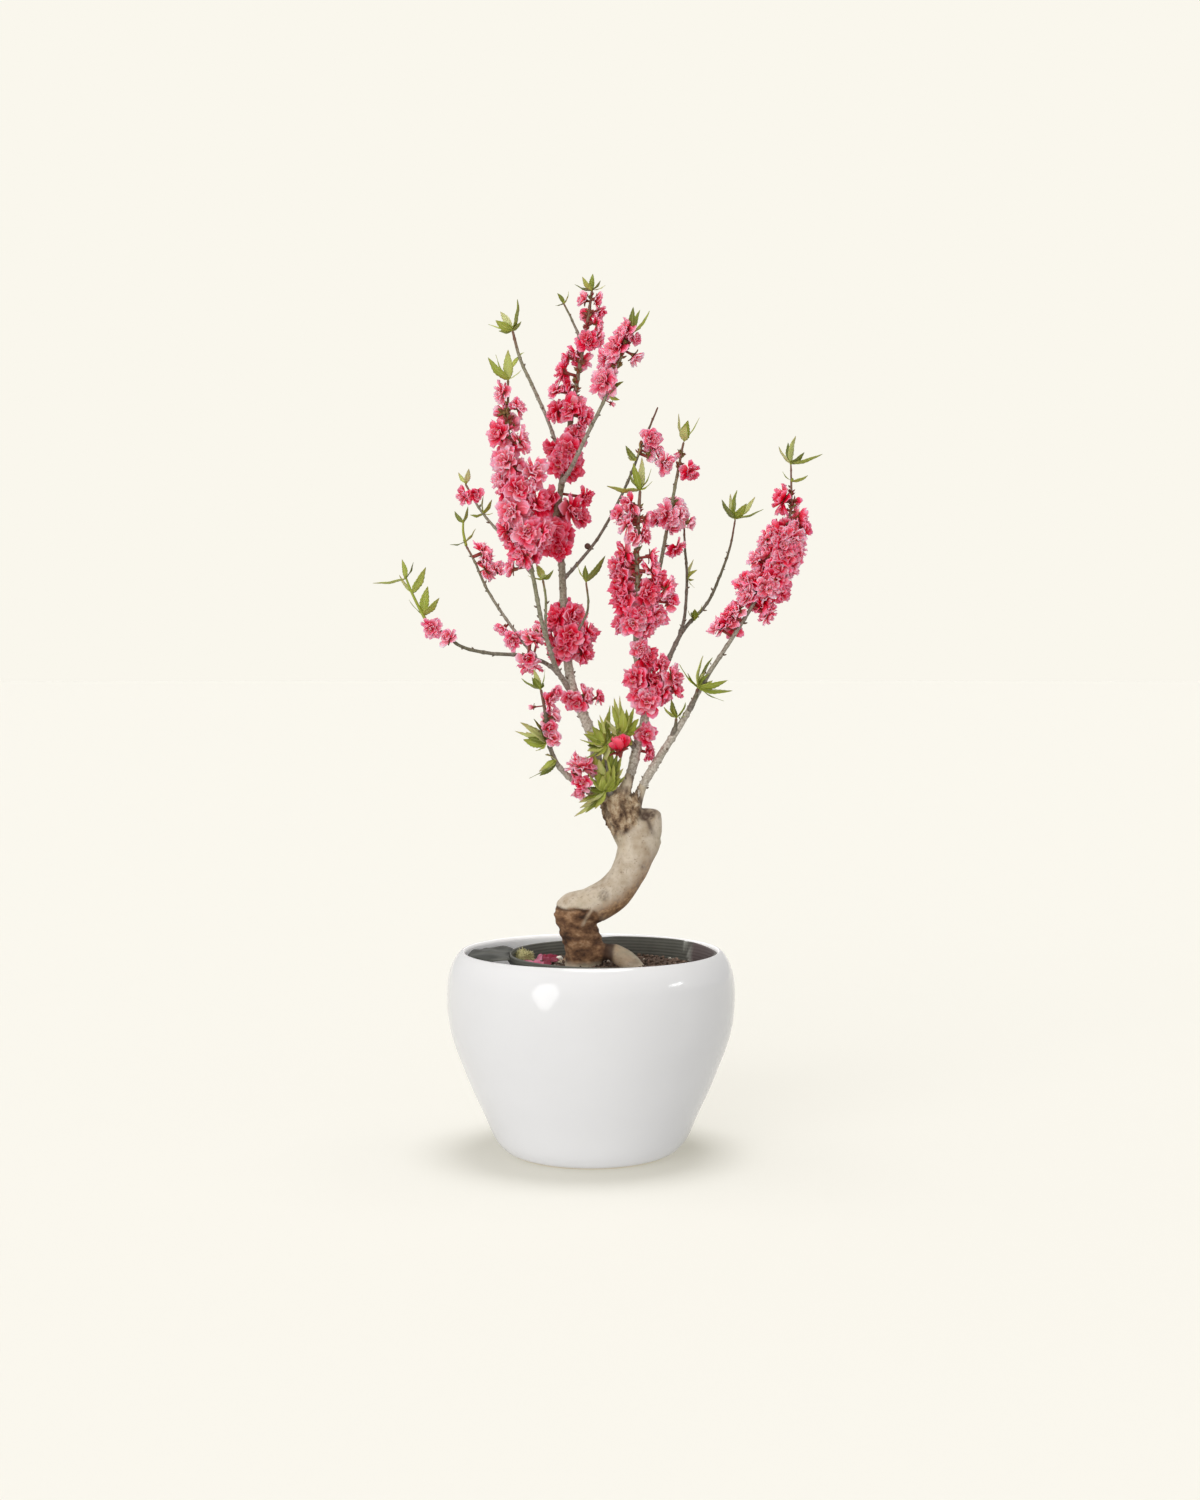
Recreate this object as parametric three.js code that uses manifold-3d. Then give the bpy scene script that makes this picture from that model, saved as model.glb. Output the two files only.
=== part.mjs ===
// Potted flowering peach tree, in millimetres, +Z up.
// The origin is the centre of the pot's flat base, and the viewer stands on the -Y side.

import * as THREE from 'three';
import { mergeVertices } from 'three/addons/utils/BufferGeometryUtils.js';
import Module from 'manifold-3d';

const wasm = await Module();
wasm.setup();

// Driving dimensions
const POT_BASE_RADIUS = 78;
const POT_BELLY_RADIUS = 151;
const POT_HEIGHT = 213;
const POT_FLOOR = 10;
const POT_SEGMENTS = 28;
const LINER_RIM_RADIUS = 110;
const LINER_BASE_RADIUS = 76;
const LINER_RIM_HEIGHT = 210;
const LINER_WALL = 2;
const LINER_BEAD = 8;
const LINER_SEGMENTS = 24;
const LINER_LEAN_BASE = 10;
const LINER_LEAN_RIM = 22;
const SOIL_SEGMENTS = 16;
const SOIL_EDGE = 192;
const SOIL_MOUND = 6;
const GAP = 0.3;
const BLADE = 0.8;
const SLEEVE_WALL = 2.6;
const SLEEVE_MARGIN = 0.12;
const SLEEVE_STEPS_PER_SPAN = 0.6;
const BUD_RADIUS = 2.6;
const LEAF_SPREAD = 1.5;
const LONGEST_LEAF = 45;

// Flowers with radii up to SMALL_BLOOM have four petals, and above CROWNED_BLOOM an inner crown
const SMALL_BLOOM = 12.5;
const CROWNED_BLOOM = 15.5;

// A flower's proportions, as shares of its radius
const BLOOM_STALK = 0.62;
const BLOOM_CLEARANCE = 1.12;
const PETAL_NOTCH = 0.42;
const PETAL_REACH = 0.94;
const PETAL_LIFT = 0.32;
const PETAL_TWIST = 0.13;
const CROWN_RADIUS = 0.5;
const CROWN_HEIGHT = 0.66;

// Limbs are drawn on the plane through the pot's axis, x across and z up, as seen from EYE.
// The third number is the depth y that a point is carried to along its line of sight.
// The fourth is the limb's radius there.
const EYE = new THREE.Vector3(9.4, -2177, 513.5);

function seen(x, z, y) {
  const stretch = (y - EYE.y) / -EYE.y;
  return new THREE.Vector3(EYE.x + (x - EYE.x) * stretch, y, EYE.z + (z - EYE.z) * stretch);
}

const LIMBS = {
  trunk: [
    [-7, 140, 0, 10], [-9, 175, 0, 19], [-10, 197, 0, 22], [-12, 215, 0, 20], [-14, 235, 0, 20.5],
    [-15, 250, 0, 21], [2, 260, -3, 20], [22, 272, -5, 19], [37, 291, -4, 18], [47, 315, 0, 20],
    [51, 335, 2, 21], [60, 348, 3, 14], [61, 360, 3, 11.5],
  ],
  head: [[48, 322, 0, 18], [37, 345, 0, 19], [29, 360, -1, 19], [24, 374, -3, 15], [23, 384, -3, 9]],
  surface_root: [
    [2, 212, -6, 9], [20, 217, -12, 8], [38, 212, -16, 8], [50, 202, -18, 8], [57, 189, -20, 7],
  ],
  back_root: [[-14, 208, 6, 9], [-30, 203, 16, 8], [-42, 194, 26, 6]],
  left_scaffold: [
    [20, 366, -4, 9], [8, 400, -8, 6.2], [3, 432, -9, 5.6], [-9, 462, -7, 5.2], [-20, 490, -3, 5],
    [-24, 515, 4, 4.6], [-27, 545, 9, 4.2], [-29, 585, 13, 3.8], [-31, 620, 17, 3.6], [-37, 655, 22, 3.4],
    [-31, 697, 26, 3.2], [-26, 735, 28, 3], [-20, 772, 30, 2.6], [-13, 815, 31, 2.2], [-5, 858, 31, 1.8],
    [1, 898, 30, 1.3],
  ],
  left_column: [
    [-27, 488, -4, 4], [-36, 508, -20, 3.2], [-44, 532, -38, 3], [-52, 560, -48, 2.8],
    [-60, 602, -52, 2.6], [-68, 640, -55, 2.5], [-77, 680, -57, 2.4], [-84, 725, -58, 2.2],
    [-86, 765, -58, 1.9], [-86, 806, -58, 1.4],
  ],
  green_stem: [[-42, 522, -34, 2], [-47, 550, -38, 1.5], [-47, 580, -40, 1.3], [-50, 600, -42, 1.1]],
  top_left_twig: [
    [-30, 722, 27, 2.4], [-44, 764, 42, 1.8], [-60, 800, 50, 1.6], [-73, 828, 55, 1.5],
    [-81, 857, 58, 1.2],
  ],
  small_top_twig: [[-9, 845, 31, 1.6], [-19, 868, 24, 1.2], [-28, 886, 20, 1]],
  right_top: [
    [-31, 700, 22, 2.6], [-20, 718, 6, 2.2], [-2, 755, -8, 2], [14, 787, -12, 1.8], [30, 828, -14, 1.6],
    [43, 855, -15, 1.2],
  ],
  long_twig: [
    [-30, 600, 14, 2.2], [-14, 617, 18, 1.8], [10, 648, 26, 1.6], [36, 697, 36, 1.5], [56, 747, 43, 1.3],
    [69, 778, 46, 0.9],
  ],
  thin_twig: [[-27, 530, 6, 2], [-12, 550, -6, 1.4], [-3, 572, -12, 1.2], [-5, 597, -14, 1]],
  left_arch: [
    [-30, 500, -14, 2.6], [-48, 514, -18, 2.2], [-75, 522, -24, 2], [-105, 524, -30, 1.9],
    [-135, 531, -35, 1.7], [-155, 546, -38, 1.5], [-172, 558, -40, 1.2],
  ],
  left_second: [
    [-56, 518, -20, 1.9], [-71, 536, -4, 1.7], [-90, 562, 12, 1.6], [-108, 590, 24, 1.5],
    [-121, 619, 32, 1.3], [-130, 636, 36, 1.1],
  ],
  left_third: [
    [-61, 606, -50, 1.8], [-78, 628, -42, 1.6], [-96, 650, -34, 1.5], [-115, 673, -26, 1.3],
    [-130, 699, -20, 1.1],
  ],
  low_left: [
    [14, 372, -8, 6], [-10, 385, -20, 4.4], [-33, 405, -32, 3.4], [-44, 430, -42, 2.8],
    [-47, 458, -48, 2.4], [-52, 485, -50, 1.8],
  ],
  centre_scaffold: [
    [30, 366, -4, 8], [42, 400, -12, 5.4], [49, 430, -16, 4.8], [56, 455, -16, 4.4], [57, 482, -16, 4],
    [49, 510, -18, 3.4], [47, 540, -22, 3], [49, 580, -26, 2.7], [48, 620, -28, 2.4], [49, 655, -28, 2],
    [51, 692, -28, 1.5],
  ],
  branch_c: [
    [48, 524, -19, 2.6], [58, 560, 2, 2.3], [70, 605, 26, 2.1], [79, 652, 42, 1.9], [88, 700, 52, 1.7],
    [96, 742, 58, 1.2],
  ],
  branch_e: [
    [55, 472, -16, 3.4], [74, 503, 10, 2.8], [95, 546, 36, 2.5], [121, 576, 56, 2.1], [135, 606, 66, 1.8],
    [145, 635, 73, 1.5], [150, 662, 76, 1.1],
  ],
  branch_d: [
    [92, 540, 34, 2.2], [98, 565, 44, 1.7], [100, 605, 54, 1.5], [98, 632, 60, 1.3], [97, 654, 64, 1],
  ],
  branch_f: [
    [42, 358, -2, 8], [55, 387, -6, 4.8], [72, 416, -12, 4.2], [98, 457, -22, 3.8], [119, 498, -30, 3.4],
    [146, 541, -38, 3], [178, 590, -44, 2.6], [200, 635, -48, 2.3], [208, 675, -49, 1.9],
    [208, 719, -48, 1.2],
  ],
  spur_low: [[20, 374, -12, 5], [17, 402, -24, 2.6], [14, 428, -28, 1.6]],
  spur_front: [[47, 424, -17, 3.2], [39, 434, -26, 2], [34, 440, -32, 1.5]],
  spur_f: [[101, 462, -23, 3], [108, 475, -30, 2], [111, 486, -33, 1.5]],
  spur_f_low: [[84, 436, -17, 3], [88, 446, -22, 2], [89, 455, -25, 1.4]],
};
const THICK_LIMBS = { trunk: 10, head: 9, surface_root: 6, back_root: 6 };
const SCAFFOLDS = ['left_scaffold', 'centre_scaffold', 'branch_f', 'low_left'];

// Each spray is a run of double flowers round one limb.
// A flower is its x, its z, its radius and the side of the limb that it grows on:
// -1 faces the viewer, 1 is behind, 0 stands beside the limb.
const SPRAYS = {
  bloom_left_column: ['left_column', [
    [-94, 790, 10, -1], [-77, 779, 9, 1], [-97, 757, 14, -1], [-76, 748, 15, -1], [-91, 726, 16, -1],
    [-78, 716, 14, 1], [-74, 696, 16, -1], [-91, 698, 14, 1], [-85, 673, 16, -1], [-69, 664, 15, 1],
    [-66, 650, 17, -1], [-82, 643, 14, 1], [-74, 625, 15, -1],
  ]],
  bloom_centre_top: ['left_scaffold', [
    [-7, 890, 8, -1], [8, 884, 9, 1], [13, 866, 9, -1], [-1, 853, 12, -1], [-14, 842, 12, 1],
    [-30, 823, 12, -1], [-9, 822, 14, -1], [-36, 799, 12, 1], [-17, 799, 15, -1], [-34, 777, 15, -1],
    [-12, 776, 15, 1],
  ]],
  bloom_centre_mid: ['left_scaffold', [
    [-20, 750, 14, -1], [-38, 733, 15, -1], [-18, 723, 15, -1], [-30, 712, 14, 1], [-30, 700, 15, -1],
    [-16, 675, 17, -1], [-46, 681, 15, -1], [-38, 672, 14, 1], [-36, 653, 16, -1], [-22, 648, 13, 1],
    [-48, 636, 15, -1], [-29, 630, 14, -1],
  ]],
  bloom_right_top: ['right_top', [
    [22, 845, 15, -1], [30, 850, 11, 1], [11, 811, 15, -1], [44, 834, 9, 0], [33, 820, 10, 1],
  ]],
  bloom_mid_left: ['left_scaffold', [
    [-37, 567, 13, -1], [-15, 566, 15, -1], [0, 549, 13, 0], [-42, 543, 13, 1], [-21, 543, 17, -1],
    [-6, 524, 13, -1], [-36, 520, 13, -1], [-20, 556, 14, 1], [-18, 528, 13, 1],
  ]],
  bloom_arch_base: ['left_arch', [[-62, 505, 12, -1], [-61, 532, 9, -1]]],
  bloom_arch_tip: ['left_arch', [[-167, 550, 9, -1], [-149, 541, 8, -1]]],
  bloom_second_low: ['left_second', [[-91, 552, 9, -1], [-78, 542, 9, 1]]],
  bloom_second_top: ['left_second', [[-113, 632, 12, -1], [-109, 613, 12, -1]]],
  bloom_third: ['left_third', [[-134, 687, 9, 0], [-120, 689, 7, -1]]],
  bloom_low_left: ['low_left', [[-39, 442, 10, -1], [-52, 458, 8, 1], [-40, 468, 11, -1]]],
  bloom_low_front: ['left_scaffold', [[-10, 406, 16, -1], [-6, 384, 10, -1]]],
  bloom_left_fork: ['left_scaffold', [[0, 479, 12, 0], [-23, 470, 9, -1]]],
  bloom_low_mid: ['centre_scaffold', [[28, 431, 12, 0], [62, 440, 12, 0], [63, 421, 9, 0]]],
  bloom_centre_low: ['centre_scaffold', [
    [62, 519, 14, -1], [44, 497, 13, -1], [67, 495, 14, -1], [86, 502, 12, 0], [59, 474, 13, -1],
    [79, 480, 12, 0], [57, 510, 13, 1],
  ]],
  bloom_centre: ['centre_scaffold', [
    [34, 630, 14, -1], [31, 601, 16, -1], [31, 574, 15, -1], [43, 552, 15, -1], [61, 612, 15, -1],
    [56, 584, 15, -1], [77, 590, 14, 0], [70, 563, 14, -1], [40, 612, 13, 1], [40, 574, 13, 1],
  ]],
  bloom_centre_high: ['centre_scaffold', [
    [31, 681, 13, -1], [34, 659, 13, -1], [54, 651, 13, -1], [56, 670, 12, 1],
  ]],
  bloom_long_twig: ['long_twig', [[57, 756, 10, -1], [74, 727, 13, -1], [56, 736, 8, 1]]],
  bloom_c: ['branch_c', [[77, 674, 16, -1], [97, 668, 11, -1], [89, 689, 10, 1]]],
  bloom_c_low: ['branch_c', [[88, 632, 10, -1]]],
  bloom_c_top: ['branch_c', [[102, 712, 9, -1], [89, 732, 6, -1]]],
  bloom_f_top: ['branch_f', [[195, 687, 11, -1], [219, 671, 12, -1], [215, 691, 8, 1]]],
  bloom_f: ['branch_f', [
    [192, 652, 14, -1], [214, 649, 14, 0], [184, 629, 15, -1], [207, 626, 15, -1], [173, 606, 15, -1],
    [196, 604, 15, 1], [165, 586, 14, -1], [187, 581, 14, 0], [152, 567, 13, -1], [172, 564, 12, 1],
    [139, 548, 12, -1], [156, 547, 11, 1],
  ]],
};
const PALE_SPRAYS = ['bloom_right_top', 'bloom_arch_tip', 'bloom_second_low', 'bloom_c', 'bloom_long_twig'];

// Each tuft is the foot of its leaves on a limb, as x, z and depth y, then the leaves:
// the tip's x and z, its depth beyond the foot, and the leaf's greatest width.
const TUFTS = {
  leaf_top: [
    [1, 900, 30],
    [[-9, 914, -6, 4], [2, 917, 3, 4], [10, 910, -6, 4], [15, 905, 8, 4], [-17, 906, 8, 4]],
  ],
  leaf_left_top: [
    [-86, 808, -58],
    [[-107, 831, -4, 6], [-99, 834, 6, 6], [-86, 839, -3, 6], [-72, 818, 6, 3], [-84, 832, 16, 5]],
  ],
  leaf_twig_top: [
    [-82, 859, 58],
    [
      [-76, 891, -4, 8], [-99, 869, -3, 6], [-107, 865, 8, 3], [-94, 878, 8, 5], [-96, 858, 3, 5],
      [-72, 868, 6, 4],
    ],
  ],
  leaf_twig_side: [[-75, 831, 56], [[-85, 816, -3, 3], [-69, 836, 4, 3]]],
  leaf_small_twig: [[-28, 887, 20], [[-35, 897, -3, 3], [-23, 899, 3, 4], [-37, 884, 4, 3]]],
  leaf_right_top: [
    [44, 857, -16],
    [[44, 883, -4, 6], [61, 879, 3, 5], [54, 868, -6, 4], [51, 880, 6, 4]],
  ],
  leaf_right_mid: [[18.4, 793, -14], [[34, 806, -5, 5], [30, 787, 3, 4]]],
  leaf_thin_twig: [[-5, 599, -14], [[15, 626, -4, 6], [-15, 618, -3, 4], [-6, 616, 6, 4]]],
  leaf_long_twig: [[47, 724, 40], [[51, 745, -6, 5], [36, 740, 4, 5], [38, 728, 2, 4]]],
  leaf_third: [
    [-112, 669, -27],
    [[-103, 684, -4, 4], [-112, 688, 3, 4], [-102, 670, 4, 3], [-126, 668, -3, 4]],
  ],
  leaf_third_top: [[-130, 701, -20], [[-127, 716, -3, 4], [-138, 712, 4, 4]]],
  leaf_low_left: [[-53, 487, -50], [[-73, 498, -4, 5], [-60, 508, 5, 4], [-48, 508, -4, 4]]],
  leaf_low_mid: [
    [-47, 431, -46],
    [[-74, 452, -6, 8], [-71, 434, 3, 7], [-80, 443, 8, 3], [-60, 456, -4, 6], [-58, 422, -5, 6]],
  ],
  leaf_droop: [[-37, 412, -38], [[-65, 393, -6, 6], [-54, 396, 4, 5], [-48, 418, -8, 5]]],
  leaf_bright: [
    [51, 694, -28],
    [
      [44, 722, -5, 6], [63, 716, 2, 6], [16, 698, -5, 7], [53, 728, 5, 6], [40, 711, 9, 5],
      [64, 703, -6, 4],
    ],
  ],
  leaf_c_top: [[97, 745, 58], [[91, 773, -4, 5], [101, 766, 5, 7], [113, 769, 2, 4], [99, 761, -6, 6]]],
  leaf_d: [[100, 603, 54], [[111, 611, -4, 3], [108, 592, -2, 3], [107, 622, 3, 3]]],
  leaf_d_top: [[97, 656, 64], [[92, 668, -3, 3], [101, 669, 3, 3]]],
  leaf_e_top: [
    [150, 664, 76],
    [
      [136, 684, -5, 7], [152, 694, -2, 8], [171, 687, 3, 6], [180, 674, -4, 5], [145, 690, 9, 6],
      [162, 680, -9, 6],
    ],
  ],
  leaf_e_low: [[108, 559, 43], [[116, 575, -5, 4], [101, 569, -4, 3]]],
  leaf_f_top: [
    [208, 721, -48],
    [[195, 739, -4, 5], [213, 750, 2, 6], [241, 731, -3, 5], [205, 743, 8, 5], [222, 733, -8, 5]],
  ],
  leaf_f_side: [[209, 703, -49], [[226, 709, -3, 4], [199, 713, 3, 4]]],
  leaf_f_mid: [
    [112, 488, -33],
    [
      [92, 513, -5, 6], [117, 522, -3, 7], [127, 520, 6, 6], [148, 485, -4, 6], [139, 474, 3, 5],
      [143, 496, -8, 6],
    ],
  ],
  leaf_f_low: [[89, 457, -25], [[76, 468, -3, 5], [84, 476, 5, 5], [99, 473, -5, 5], [105, 462, 3, 4]]],
  leaf_column_foot: [[-50, 602, -42], [[-66, 605, -6, 5], [-39, 611, -5, 5], [-57, 617, 4, 5]]],
  leaf_low_spur: [
    [14, 430, -28],
    [
      [-4, 428, -5, 7], [7, 455, -2, 7], [18, 463, 5, 7], [29, 454, -4, 7], [-5, 443, 6, 6],
      [-6, 414, -4, 6],
    ],
  ],
  leaf_front_spur: [
    [33.7, 441, -32.5],
    [[24, 478, -3, 4], [37, 466, -5, 6], [50, 456, -7, 7], [18, 446, -6, 6], [45, 468, 3, 5]],
  ],
  leaf_head: [
    [14, 381, -20],
    [
      [-6, 357, -5, 7], [-18, 353, 4, 6], [-13, 368, -6, 6], [29, 398, -7, 7], [30, 413, -3, 6],
      [8, 400, -8, 6],
    ],
  ],
};

// Green shoots that carry their own tufts: the stem's points, then the tufts
const SHOOTS = {
  leaf_arch: [
    [[-172, 558, -40, 1.7], [-181, 575, -41, 1.5], [-188, 590, -42, 1.3], [-193, 603, -42, 1]],
    [
      [[-175, 564, -40], [[-158, 582, -4, 6], [-170, 594, 4, 6], [-190, 580, 5, 4]]],
      [[-186, 587, -42], [[-172, 614, -5, 6], [-179, 606, 6, 5], [-200, 606, 4, 4]]],
      [[-193, 602, -42], [[-228, 597, -3, 4], [-197, 622, 2, 4], [-185, 619, -4, 4]]],
    ],
  ],
  leaf_second: [
    [[-130, 636, 36, 1.6], [-133, 650, 37, 1.3], [-133, 661, 38, 1]],
    [
      [[-131, 640, 36], [[-147, 637, -4, 4], [-120, 654, 5, 4]]],
      [[-133, 660, 38], [[-142, 672, 4, 4], [-128, 677, -2, 4]]],
    ],
  ],
};

// Finishes
const WOOD = { color: 0x9a8672, roughness: 0.85, metalness: 0 };
const GLAZE = { color: 0xe9e8ea, roughness: 0.15, metalness: 0 };
const LINER_PLASTIC = { color: 0x4b4c48, roughness: 0.6, metalness: 0 };
const EARTH = { color: 0x4a3828, roughness: 0.95, metalness: 0 };
const PINK = { color: 0xdc5a78, roughness: 0.6, metalness: 0 };
const PALE_PINK = { color: 0xe77f9a, roughness: 0.6, metalness: 0 };
const LEAF_GREEN = { color: 0x8ba046, roughness: 0.55, metalness: 0 };
const MOSS_GREEN = { color: 0x77713f, roughness: 0.95, metalness: 0 };
const PEBBLE_WHITE = { color: 0xe6e0d2, roughness: 0.6, metalness: 0 };

// A repeatable jitter between -1 and 1 for item i of group seed
function jitter(i, seed) {
  const value = Math.sin(i * 12.9898 + seed * 78.233) * 43758.5453;
  return 2 * (value - Math.floor(value)) - 1;
}

// A closed mesh from vertices and triangles
function closedGeometry(vertices, triangles) {
  const geometry = new THREE.BufferGeometry();
  const flat = vertices.flatMap((v) => [v.x, v.y, v.z]);
  geometry.setAttribute('position', new THREE.Float32BufferAttribute(flat, 3));
  geometry.setIndex(triangles.flat());
  return geometry;
}

function toSolid(geometry) {
  const bare = geometry.clone();
  bare.deleteAttribute('normal');
  bare.deleteAttribute('uv');
  const merged = mergeVertices(bare, 1e-4);
  const mesh = new wasm.Mesh({
    numProp: 3,
    vertProperties: new Float32Array(merged.attributes.position.array),
    triVerts: new Uint32Array(merged.index.array),
  });
  mesh.merge();
  return new wasm.Manifold(mesh);
}

// The largest body of a solid: loose scraps and sealed hollows are dropped
function largestBody(solid) {
  const bodies = solid.decompose();
  bodies.sort((a, b) => b.volume() - a.volume());
  return bodies[0];
}

function toGeometry(solid) {
  const mesh = solid.getMesh();
  const geometry = new THREE.BufferGeometry();
  geometry.setAttribute('position', new THREE.BufferAttribute(mesh.vertProperties, 3));
  geometry.setIndex(new THREE.BufferAttribute(mesh.triVerts, 1));
  geometry.computeVertexNormals();
  return geometry;
}

const tree = new THREE.Group();

function addMesh(name, geometry, finish) {
  const mesh = new THREE.Mesh(geometry, new THREE.MeshStandardMaterial(finish));
  mesh.name = name;
  tree.add(mesh);
  return mesh;
}

// A limb's smooth centre line and its radius at any place u from 0 to 1
function limbLine(points) {
  const centres = points.map(([x, z, y]) => seen(x, z, y));
  const curve = new THREE.CatmullRomCurve3(centres, false, 'catmullrom', 0.5);
  const spans = points.length - 1;
  const radiusAt = (u) => {
    const place = Math.min(Math.max(u, 0), 1) * spans;
    const i = Math.min(Math.floor(place), spans - 1);
    return THREE.MathUtils.lerp(points[i][3], points[i + 1][3], place - i);
  };
  return { curve, spans, radiusAt };
}

// A closed tube through places on a limb, with extra added to its radius
function tube(line, places, sides, extra) {
  const vertices = [];
  const triangles = [];
  const side = new THREE.Vector3(0, 1, 0);
  const lastRing = places.length - 1;
  places.forEach((u, ring) => {
    const along = line.curve.getTangent(u);
    side.addScaledVector(along, -side.dot(along)).normalize();
    const across = new THREE.Vector3().crossVectors(along, side);
    const centre = line.curve.getPoint(u);
    if (ring === 0) centre.addScaledVector(along, -extra);
    if (ring === lastRing) centre.addScaledVector(along, extra);
    for (let k = 0; k < sides; k += 1) {
      const angle = (2 * Math.PI * k) / sides;
      const radius = line.radiusAt(u) + extra;
      const corner = centre.clone();
      corner.addScaledVector(side, radius * Math.cos(angle));
      corner.addScaledVector(across, radius * Math.sin(angle));
      vertices.push(corner);
    }
  });
  for (let ring = 0; ring < lastRing; ring += 1) {
    for (let k = 0; k < sides; k += 1) {
      const a = ring * sides + k;
      const b = ring * sides + ((k + 1) % sides);
      triangles.push([a, b, b + sides], [a, b + sides, a + sides]);
    }
  }
  for (let k = 1; k < sides - 1; k += 1) {
    const top = lastRing * sides;
    triangles.push([0, k + 1, k], [top, top + k, top + k + 1]);
  }
  return closedGeometry(vertices, triangles);
}

function evenPlaces(from, to, steps) {
  return Array.from({ length: steps + 1 }, (_, i) => from + ((to - from) * i) / steps);
}

function limbSolid(name, points, extra) {
  const line = limbLine(points);
  const sides = THICK_LIMBS[name] ?? (SCAFFOLDS.includes(name) ? 5 : 4);
  return toSolid(tube(line, evenPlaces(0, 1, line.spans), sides, extra));
}

function woodSolid(extra) {
  return wasm.Manifold.union(Object.entries(LIMBS).map(([name, points]) => limbSolid(name, points, extra)));
}

// The place on a limb that is drawn nearest to x, z
function nearestPlace(line, x, z) {
  const triesPerSpan = 12;
  const steps = line.spans * triesPerSpan;
  let best = { distance: Infinity };
  for (let i = 0; i <= steps; i += 1) {
    const u = i / steps;
    const point = line.curve.getPoint(u);
    const stretch = (point.y - EYE.y) / -EYE.y;
    const drawnX = EYE.x + (point.x - EYE.x) / stretch;
    const drawnZ = EYE.z + (point.z - EYE.z) / stretch;
    const distance = Math.hypot(drawnX - x, drawnZ - z);
    if (distance < best.distance) best = { distance, u, point };
  }
  return best;
}

// A double flower: a whorl of cupped petals that meet at their notches, rooted on the limb.
// The largest flowers hold a crown of shorter petals, and small flowers and buds have four petals.
function bloomGeometry({ root, centre, radius }, seed) {
  const axis = centre.clone().sub(root).normalize();
  const first = new THREE.Vector3(0.3, 0.2, 1).cross(axis).normalize();
  const second = new THREE.Vector3().crossVectors(axis, first);
  const place = (angle, out, up) => centre.clone()
    .addScaledVector(first, Math.cos(angle) * out)
    .addScaledVector(second, Math.sin(angle) * out)
    .addScaledVector(axis, up);
  const crowned = radius > CROWNED_BLOOM;
  const count = radius > SMALL_BLOOM ? 5 : 4;
  const step = (2 * Math.PI) / count;
  const turn = jitter(seed, 3) * Math.PI;
  const heart = place(0, 0, (crowned ? 0.25 : 0.12) * radius);
  const vertices = [root.clone(), heart];
  const triangles = [];
  const perPetal = crowned ? 7 : 5;
  const corner = (petal, place) => 2 + (petal % count) * perPetal + place;
  for (let k = 0; k < count; k += 1) {
    const middle = turn + step * k;
    const spread = step * (0.37 + 0.05 * jitter(seed + k, 5));
    const reach = radius * (PETAL_REACH + (1 - PETAL_REACH) * jitter(seed + k, 7));
    const lift = radius * (PETAL_LIFT + 0.14 * jitter(seed + k, 11));
    const twist = radius * PETAL_TWIST * jitter(seed + k, 13);
    const slope = Math.atan2(lift, 0.6 * radius);
    const outer = BLADE * Math.sin(slope);
    const lower = BLADE * Math.cos(slope);
    vertices.push(
      place(middle - step / 2, PETAL_NOTCH * radius, 0),
      place(middle - spread, reach, lift + twist),
      place(middle - spread, reach + outer, lift + twist - lower),
      place(middle + spread, reach, lift - twist),
      place(middle + spread, reach + outer, lift - twist - lower),
    );
    if (crowned) {
      vertices.push(
        place(middle - step / 2, CROWN_RADIUS * radius, CROWN_HEIGHT * radius),
        place(middle, 0.3 * radius, 0.3 * radius),
      );
    }
  }
  for (let k = 0; k < count; k += 1) {
    const notch = corner(k, 0);
    const left = corner(k, 1);
    const leftLow = corner(k, 2);
    const right = corner(k, 3);
    const rightLow = corner(k, 4);
    const next = corner(k + 1, 0);
    const valley = crowned ? corner(k, 6) : 1;
    triangles.push(
      [valley, notch, left], [valley, left, right], [valley, right, next],
      [0, next, notch], [notch, next, leftLow], [next, rightLow, leftLow],
      [notch, leftLow, left], [left, leftLow, rightLow], [left, rightLow, right], [right, rightLow, next],
    );
    if (crowned) {
      const crown = corner(k, 5);
      const nextCrown = corner(k + 1, 5);
      triangles.push([notch, valley, crown], [next, nextCrown, valley]);
      triangles.push([1, crown, valley], [1, valley, nextCrown]);
    }
  }
  return closedGeometry(vertices, triangles);
}

// Where each flower of a spray grows: its root on the limb's centre line and its own centre
function placeBlooms(line, blooms) {
  return blooms.map(([x, z, radius, side]) => {
    const near = nearestPlace(line, x, z);
    const reach = line.radiusAt(near.u) + BLOOM_STALK * radius;
    const depth = Math.sqrt(Math.max(0, reach * reach - near.distance * near.distance));
    const centre = seen(x, z, near.point.y + side * depth);
    return { root: near.point, centre, radius, u: near.u };
  });
}

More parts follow.
